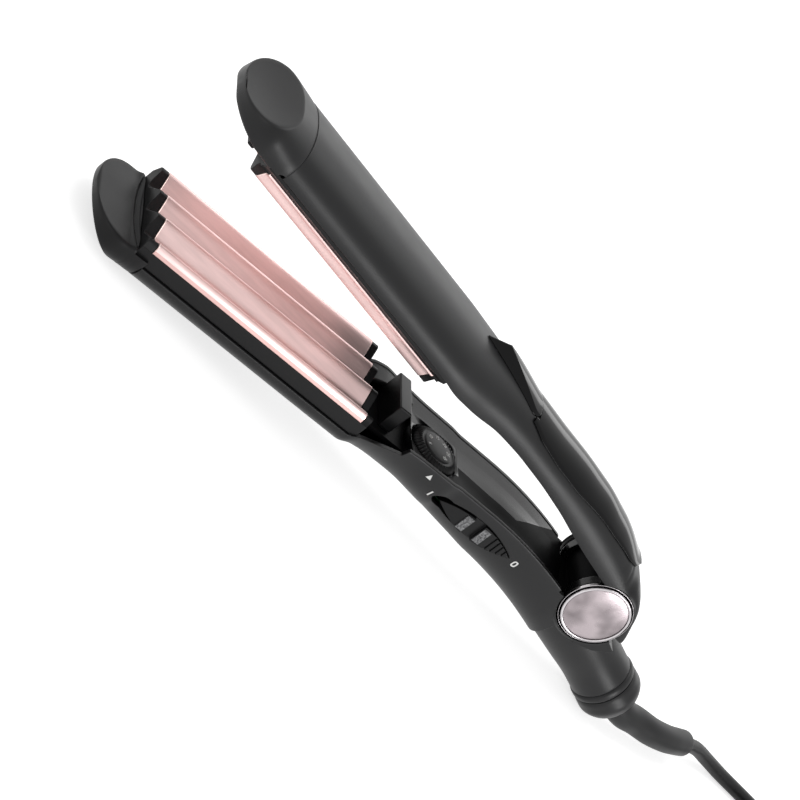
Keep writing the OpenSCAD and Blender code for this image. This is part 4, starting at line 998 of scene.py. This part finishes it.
def lower_outline():
    wave = flat_wave(0, -WAVE_DEPTH)
    edge = [(-PLATE_HW, -PLATE_SIDE), (-PLATE_HW + 0.5, -EDGE_DROP - 1),
            (-PLATE_HW + 1.5, -EDGE_DROP), (-PLATE_HW + 2.6, -EDGE_DROP)]
    last = 1.5 * WAVE_PITCH - CREST_FLAT / 2
    far = [(last, 0), (PLATE_HW, 0), (PLATE_HW, -PLATE_SIDE)]
    return rounded(edge + wave + far, CREST_ROUND) + foot(BASE_HW, -PLATE_SIDE, PLATE_BOTTOM)


def upper_outline():
    wave = flat_wave(UP_VALLEY, UP_CREST)
    edge = [(UP_EDGE, UP_VALLEY - 0.4), (UP_HW, UP_SIDE - 1), (UP_HW, UP_SIDE)]
    top = rounded([(-y, z) for y, z in edge[::-1]] + wave + edge, CREST_ROUND)
    return top + foot(UP_BASE_HW, UP_SIDE, UP_PLATE_BACK)


def make_plate(name, outline, towards, place, body, node):
    """A plate with its end edges eased: the outline sinks a little over the last half mm. The eased ends get a
    glossier rose that is painted lighter, a painted highlight.
    """
    ends = [(0, 0.35), (0.12, 0.12), (0.35, 0)]
    xs = [(-PLATE_X1 + d, s) for d, s in ends] + [(PLATE_X1 - d, s) for d, s in ends[::-1]]
    rings = [[(x, p.x, p.y + towards * s) for p in outline] for x, s in xs]
    plate = finish_piece(loft(name, rings), place, body, ROSE, "wave_plate", [node], smooth=50)
    # Painted highlight: the end bands of faces take the lighter rose.
    plate.data.materials.append(ROSE_EDGE_HIGHLIGHT)
    n = len(outline)
    for face in plate.data.polygons:
        if face.index < 2 * n or 3 * n <= face.index < 5 * n:
            face.material_index = 1
    # Painted shade on the near side face of the lower plate.
    second_material(plate, ROSE_SIDE_SHADED, place, lambda p: p.y < -PLATE_HW + 0.3)


# ---- thumb rest and inlay
FIN_X0 = PLATE_X1 + 8.5
FIN_PEAK = FIN_X0 + 9
FIN_X1 = HINGE_X - 92
FIN_HW = 10.0
SKIN_GAP = 0.12
INLAY_T = 0.8
INLAY_X0 = FIN_X1 - 1.4
INLAY_X1 = HINGE_X - 2.4
FIN_BASE = [(FIN_X0, 0.5), (FIN_X1 - 3, FIN_HW), (FIN_X1, FIN_HW - 1.2)]
FIN_TOP_HW = [(FIN_PEAK, 0.3), (FIN_PEAK + 8, 3), (FIN_PEAK + 18, 6.4), (FIN_X1 - 3, FIN_HW - 1),
              (FIN_X1, FIN_HW - 2)]
FIN_TOP = [(FIN_X0, UP_BACK + 0.7), (FIN_PEAK, UP_BACK + 5.4), (FIN_PEAK + 10, UP_BACK + 3.9),
           (FIN_PEAK + 21, UP_BACK + 2.4), (FIN_X1, UP_BACK + 1.3)]
INLAY_HW = [(INLAY_X0, FIN_HW + 1.6), (HINGE_X - 85, FIN_HW + 3.6), *before_hinge(
    GRIP_HW, (71, -3.1), (55, -3.1), (41, -4.4), (27, -5.1), (12, -6.4), (6, -8.6)), (INLAY_X1, 3)]


def upper_skin(x, angle, grow):
    return (x, -(upper_hw(x) + grow) * bow(cos(angle), UPPER_POWER),
            upper_rim(x) + (upper_back(x) - upper_rim(x) + grow) * bow(sin(angle), UPPER_POWER))


def upper_surface(x, y):
    share = (abs(y) / upper_hw(x)) ** UPPER_POWER
    return upper_rim(x) + (upper_back(x) - upper_rim(x)) * (1 - share) ** (1 / UPPER_POWER)


def fin_ring(x):
    base = line(FIN_BASE, x)
    top_hw = min(eased(FIN_TOP_HW, x, 2), base - 0.1)
    top = line(FIN_TOP, x) if x < FIN_PEAK + 2 else eased(FIN_TOP, x, 2)
    under = [(k * base, upper_surface(x, k * base) + SKIN_GAP) for k in spaced(-1, 1, 16)]
    over = [(k * top_hw, top - 0.02 * (k * top_hw) ** 2) for k in spaced(1, -1, 16)]
    return [(x, y, z) for y, z in under + over]


def make_thumb_rest():
    stations = sorted(set(spaced(FIN_X0, FIN_PEAK, 6) + spaced(FIN_PEAK, FIN_X1, 26)))
    fin = loft("thumb_rest_skin", [fin_ring(x) for x in stations])
    finish_piece(fin, *ON_UPPER, GLOSS, "gloss_trim", ["thumb_rest"], smooth=24)


def inlay_ring(x):
    hw = eased(INLAY_HW, x, 1.5)
    start = acos(min(1, (hw / upper_hw(x)) ** (UPPER_POWER / 2)))
    last = 40
    angles = spaced(start, pi - start, last)
    low = [upper_skin(x, a, SKIN_GAP) for a in angles]
    rise = [INLAY_T * min(1, 0.55 + 0.25 * min(i, last - i)) for i in range(last + 1)]
    high = [upper_skin(x, a, SKIN_GAP + up) for a, up in zip(angles, rise)]
    return low + high[::-1]


def make_inlay():
    inlay = loft("gloss_inlay_skin", [inlay_ring(x) for x in spaced(INLAY_X0, INLAY_X1, 70)])
    notch = block("notch", INLAY_X0 - 1, FIN_X1 + 0.4, -FIN_HW, FIN_HW, 0, 40)
    combine(inlay, [notch])
    finish_piece(inlay, *ON_UPPER, GLOSS, "gloss_trim", ["gloss_inlay"], smooth=30)


# ---- hinge caps, collar, swivel
CAP_Y = BARREL_W / 2 + SIDE_GAP + EAR_T + SIDE_GAP
CAP_INSET = 0.4


def make_cap(name, side, node):
    """The bezel in chrome with a domed face set in it, mottled with a painted reflection, and a thin ring round
    both; the bezel's sunken side and the far cap's ring are painted shade.
    """
    r, top = CAP_D / 2 - CAP_INSET, GRIP_HW + 0.3
    rim = [(0, CAP_Y), (r - 0.4, CAP_Y), (r, CAP_Y + 0.4)]
    rim += [(r - inset, top + rise) for inset, rise in (
        (0, 0), (0.12, 0.32), (0.4, 0.5), (0.8, 0.5), (1.0, 0.4), (1.15, -0.3))]
    place = LOWER @ Matrix.Translation(HINGE) @ Matrix.Rotation(radians(90 * side), 4, "X")

    def part(suffix, profile, material, nodes=()):
        return finish_piece(revolve(name + suffix, profile, 160), place, "lower_arm", material,
                            "chrome", nodes, smooth=30)

    bezel = part("", rim + [(0, top - 0.3)], CHROME, [node])
    # Painted shade: the bezel's side below its rim, down in the hollow, is near-black.
    second_material(bezel, PAINTED_SHADE, place, lambda p: p.z < top - 0.4)
    face_r = r - 1.35
    dome = [(face_r * (1 - t), top + 0.1 + (CAP_DOME - 0.1) * (1 - (1 - t) ** 2.4))
            for t in spaced(0, 1, 20)]
    part("_face", [(0, top - 0.3), (face_r, top - 0.3)] + dome, CAP_REFLECTION)
    ring = [(HOLLOW_R - inset, top - drop) for inset, drop in (
        (0.35, 1.6), (0.08, 1.6), (0.08, 0.5), (0.2, 0.36), (0.35, 0.5))]
    # The far cap's ring is painted shade black; the near one is chrome.
    part("_ring", ring, CHROME if side > 0 else PAINTED_SHADE)


def make_collar_and_swivel():
    collar_r, neck_r, swivel_r = TAIL_R + 0.5, 9.1, SWIVEL_D / 2
    collar = revolve("collar_ring", [
        (neck_r + BODY_GAP, -COLLAR_LEN), (TAIL_R - 0.1, -COLLAR_LEN),
        (collar_r - 0.2, -COLLAR_LEN + 0.5), (collar_r, -COLLAR_LEN + 1),
        (collar_r, -BODY_GAP - 1), (collar_r - 0.15, -BODY_GAP - 0.5),
        (collar_r - 0.6, -BODY_GAP), (neck_r + BODY_GAP, -BODY_GAP)])
    finish_piece(collar, LOWER @ ON_TAIL, "lower_arm", SATIN, HOUSING, ["tail_collar"])
    bore = SLEEVE_D / 2 + 0.35
    seat = -COLLAR_LEN - BODY_GAP
    flange = TAIL_R - WALL - 0.4
    skin = smooth_outline([(swivel_r - 0.5, 0), (swivel_r - 0.1, 1.4), (swivel_r, 3.5),
                           (swivel_r, SWIVEL_LEN / 2), (swivel_r - 0.8, SWIVEL_LEN - 4),
                           (swivel_r - 2.6, SWIVEL_LEN - 1.4), (swivel_r - 4.9, SWIVEL_LEN)], 5)
    swivel = revolve("swivel_cap", [(bore, seat - 3.6), (flange, seat - 3.6), (flange, seat),
                                    (neck_r, seat), (neck_r, 0)] + skin
                     + [(bore + 0.6, SWIVEL_LEN), (bore, SWIVEL_LEN - 0.6)])
    finish_piece(swivel, LOWER @ ON_TAIL, "swivel", SATIN, HOUSING, ["cord_swivel"])


# ---- dial
DIAL_TOP = -LOW_GRIP_RIM + 1.7
DIAL_BOTTOM = DIAL_TOP - DIAL_T
DIAL_PLACE = LOWER @ Matrix.Translation((DIAL_X, DIAL_Y, 0))
NUMBER_SIZE, NUMBER_DEPTH, NUMBER_INSET = 2.3, 0.12, 6.5
FIRST_NUMBER, NUMBER_STEP = 200, 50


def make_dial():
    r = DIAL_D / 2
    per_tooth = 8
    steps = DIAL_TEETH * per_tooth
    levels = [(r - 1.2, DIAL_BOTTOM, 0), (r - 0.2, DIAL_BOTTOM + 0.5, 0.5),
              (r, DIAL_BOTTOM + 0.9, 0.8)]
    levels += [(r - inset, DIAL_TOP - drop, tooth) for inset, drop, tooth in (
        (0.2, 2.0, 0.8), (1.7, 0.6, 0.9), (2.6, 0.35, 0.5), (3.1, 0.5, 0), (4.2, 0.55, 0),
        (4.5, 0.1, 0), (4.9, 0, 0))]
    levels.append((2.2, DIAL_TOP + 0.1, 0))
    waves = [(0.5 - 0.5 * cos(2 * pi * k / per_tooth)) ** 0.6 for k in range(steps)]
    circle = disc((0, 0), 1, steps)
    rings = [[((level_r - tooth * wave) * c, (level_r - tooth * wave) * s, z)
              for wave, (c, s) in zip(waves, circle)] for level_r, z, tooth in levels]
    finish_piece(loft("dial_wheel", rings), DIAL_PLACE, "dial", SATIN_DARK, HOUSING,
                 ["temperature_dial"], smooth=35)


def dial_number(text, place):
    """A raised printed number, as a mesh."""
    name = "dial_number_" + text
    curve = bpy.data.curves.new(name, "FONT")
    curve.body, curve.size, curve.extrude = text, NUMBER_SIZE, NUMBER_DEPTH / 2
    curve.align_x = curve.align_y = "CENTER"
    curve.resolution_u = 4
    source = add_object(name + "_source", curve)
    mesh = evaluated(source)
    bpy.data.objects.remove(source)
    finish_piece(add_object(name, mesh), place, "dial", MARK, "clear_lens", smooth=30)


def make_dial_marks():
    r = DIAL_D / 2 - NUMBER_INSET
    for i, text in enumerate(("5", "10", "15", "20", "25", "30")):
        a = radians(FIRST_NUMBER - NUMBER_STEP * i)
        spot = Matrix.Translation((r * cos(a), r * sin(a), DIAL_TOP + 0.07))
        dial_number(text, DIAL_PLACE @ spot @ Matrix.Rotation(a - pi / 2, 4, "Z"))


# ---- guide post and the shelf behind it
POST_X, POST_HW, POST_HT, POST_TOP, POST_H = PLATE_X1 + 15.2, 11.1, 3.1, 3.5, 12.7
SHELF_X0 = PLATE_END + 3.2
SHELF_Y0 = 11.4


def make_post():
    post = block("guide_post_skin", POST_X - POST_HT, POST_X + POST_HT, -POST_HW, POST_HW,
                 POST_TOP - POST_H + SEAT, POST_TOP)
    finish_piece(post, *ON_LOWER, POST, "gloss_trim", ["guide_post"], bevel=0.6)


def make_shelf():
    """The far side of the recess, level with the rim, that the post stands against."""
    rings = []
    for x in spaced(SHELF_X0, RECESS_X1 + 0.1, 16):
        y1, top = lower_hw(x) - WALL + 0.3, lower_rim(x) - 0.25
        rings.append([(x, SHELF_Y0, top - 2), (x, SHELF_Y0, top - 0.4), (x, SHELF_Y0 + 0.4, top),
                      (x, y1, top), (x, y1, top - 2)])
    finish_piece(loft("recess_shelf", rings), *ON_LOWER, SATIN, HOUSING)


# ---- switch and marks
ON_MARK, OFF_MARK, DIAL_MARK = (102, -14.3), (151.9, -15.6), (95.4, -8.1)
MARK_LIFT = 0.05


def side_spot(x, z):
    """A place on the near wall of the lower handle, facing outwards."""
    rim, back, hw = lower_rim(x), lower_back(x), lower_hw(x)
    share = (abs(z - rim) / abs(back - rim)) ** LOWER_POWER
    y = -hw * (1 - share) ** (1 / LOWER_POWER)
    slope = (share ** (1 - 1 / LOWER_POWER) / (1 - share) ** (1 - 1 / LOWER_POWER)
             * hw / abs(back - rim))
    return (LOWER @ Matrix.Translation((x, y - MARK_LIFT, z))
            @ Matrix.Rotation(pi / 2 + atan(slope), 4, "X"))


def side_mark(obj, spot):
    finish_piece(obj, side_spot(*spot), "lower_arm", MARK, "clear_lens")


def make_side_marks():
    """A bar and a ring at the switch's two ends, and an arrow under the dial."""
    faces_z = (-MARK_LIFT, MARK_LIFT)
    side_mark(block("mark_on", -0.35, 0.35, -1.7, 1.7, *faces_z), ON_MARK)
    outline = [(1.15 * bow(cos(a), 3), 1.75 * bow(sin(a), 3))
               for a in spaced(0, 2 * pi, 48)[:-1]]
    inner = [(x * 0.46, y * 0.62) for x, y in outline]
    n = len(outline)
    points = [(x, y, z) for z in faces_z for ring in (outline, inner) for x, y in ring]
    faces = []
    for k in range(n):
        j = (k + 1) % n
        faces += [(k, j, n + j, n + k), (2 * n + k, 3 * n + k, 3 * n + j, 2 * n + j),
                  (k, 2 * n + k, 2 * n + j, j), (n + k, n + j, 3 * n + j, 3 * n + k)]
    side_mark(mesh_object("mark_off", points, faces), OFF_MARK)
    arrow = [(-1.3, -1.2), (1.3, -1.2), (0, 1.4)]
    side_mark(loft("mark_dial", [[(x, y, z) for x, y in arrow] for z in faces_z]), DIAL_MARK)


# ---- covers and holders
COVER_SLOPE = [(-17, 3.0), (-12, 2.3), (-6, 1.2), (-1, 0.3), (3, 0)]
PIT_END = DIAL_X + DIAL_D / 2 + 2.4
COVER_STOP = HINGE_X - 16.3
# Where the painted shade along the cover's near rim ends.
COVER_SHADE_EDGE = -2.5
COVER_TURN, COVER_LEAN = 145.0, 0.7


def slope_cover(p):
    """Behind the dial the cover falls away towards the near rim."""
    ease = clamped((p.x - PIT_END) / 5) * (p.x < COVER_STOP and p.z > lower_rim(p.x) - 6)
    return p - Vector((0, 0, ease * line(COVER_SLOPE, p.y)))


def trim_holder(p):
    """The upper holder's outer edges are chamfered up to the housing's rim."""
    return Vector((p.x, p.y, max(p.z, UP_RIM - 1.8))) if abs(p.y) > HEAD_HW - 2 else p


def cover_painted_shade(p):
    """Where the cover is painted with shade: the recess, the strip along the near rim and the end at the hinge."""
    edge = -10 if p.x < PIT_END else COVER_SHADE_EDGE + COVER_LEAN * max(0, p.x - COVER_TURN)
    return p.x < RECESS_X1 + 0.6 or p.y < edge


def make_covers_and_holders():
    slices = [((0, y, 0), (0, 1, 0)) for y in (-12, -6, COVER_SHADE_EDGE, 3, 9)]
    slices += [((PIT_END, 0, 0), (1, 0, 0)), ((COVER_TURN, COVER_SHADE_EDGE, 0), (-COVER_LEAN, 1, 0))]
    cover = dressed("lower_inner_cover", *ON_LOWER, COVER, reshape=slope_cover, slices=slices)
    # Painted shade: the recess, the strip along the near rim and the hinge end of the cover are near-black.
    second_material(cover, PAINTED_SHADE, LOWER, cover_painted_shade)
    dressed("upper_inner_cover", *ON_UPPER, COVER)
    dressed("lower_plate_holder", *ON_LOWER, SATIN_DARK)
    dressed("upper_plate_holder", *ON_UPPER, SATIN_DARK, reshape=trim_holder)


# ---- stage and light
FLOOR_REACH = 6000.0
FLOOR_LIFT = 0.68
WORLD_LEVEL = 0.4
LAMPS = [("key", (0.3, 0.5, 1.4), (0.9, 0.9), 5), ("fill", (-1.3, -0.6, 0.8), (0.9, 0.9), 3),
         ("back", (0.8, 1.25, 0.6), (1.8, 0.3), 2.6), ("low", (1.0, -1.2, 0.3), (0.9, 0.45), 11)]
LAMPS_AIM = Vector((0, 0, 0.05))


def seen_rays(tree):
    """1 for the rays that see the backdrop: from the camera, a mirror or through glass."""
    path = tree.nodes.new("ShaderNodeLightPath").outputs
    value = path["Is Camera Ray"]
    for name in ("Is Glossy Ray", "Is Transmission Ray"):
        value = tree.add("Math", 0, links={0: value, 1: path[name]}, operation="MAXIMUM")
    return value


def make_stage():
    """A white floor that keeps the object's shadow: what is seen of it is lifted a little."""
    floor = block("floor", -FLOOR_REACH, FLOOR_REACH, -FLOOR_REACH, FLOOR_REACH, -20, 0)
    moved(floor, Matrix.Translation((0, 0, cad_box[0].z)) @ ROW)
    g = Graph("pale_floor", (0.9, 0.9, 0.9, 1), 0.7, specular_ior_level=0.0)
    g.tint(g.noise(6), srgb(238, 238, 238), srgb(243, 243, 243))
    lit, glow = g.shader.outputs["BSDF"], g.add("Emission", 0, {"Strength": FLOOR_LIFT})
    lifted = g.add("AddShader", 0, links={0: lit, 1: glow})
    mix = g.add("MixShader", 0, links={"Fac": seen_rays(g), 1: lit, 2: lifted})
    g.links.new(mix, g.nodes["Material Output"].inputs["Surface"])
    floor.data.materials.append(g.mat)


def area_light(name, place, size, power):
    """A soft box whose long side lies along X."""
    data = bpy.data.lights.new(name, "AREA")
    data.shape, data.size, data.size_y = "RECTANGLE", size[0], size[1]
    data.energy = power
    light = add_object(name, data)
    light.location = place
    out = (Vector(place) - LAMPS_AIM).normalized()
    side = (Vector((1, 0, 0)) - out * out.x).normalized()
    light.rotation_euler = Matrix((side, out.cross(side), out)).transposed().to_euler()


def make_light():
    world = bpy.data.worlds.new("studio")
    bpy.context.scene.world = world
    tree = Tree(world)
    shade = tree.nodes["Background"]
    shade.inputs["Color"].default_value = (1, 1, 1, 1)
    shade.inputs["Strength"].default_value = WORLD_LEVEL
    seen = tree.add("Background", 0, {"Color": (1, 1, 1, 1), "Strength": 1.0})
    mix = tree.add("MixShader", 0, links={"Fac": seen_rays(tree), 1: shade.outputs[0], 2: seen})
    tree.links.new(mix, tree.nodes["World Output"].inputs["Surface"])
    for lamp in LAMPS:
        area_light(*lamp)


# ---- build
make_stage()
make_light()
make_lower_housing()
make_upper_housing()
make_lower_tip()
make_upper_tip()
make_plate("lower_plate", lower_outline(), -1, *ON_LOWER, "lower_wave_plate")
make_plate("upper_plate", upper_outline(), 1, *ON_UPPER, "upper_wave_plate")
make_thumb_rest()
make_inlay()
make_cap("cap_near", 1, "hinge_cap_near")
make_cap("cap_far", -1, "hinge_cap_far")
make_collar_and_swivel()
make_dial()
make_dial_marks()
make_side_marks()
make_covers_and_holders()
dressed("power_slider", LOWER, "slider", SATIN_DARK, bevel=0.15)
make_post()
make_shelf()
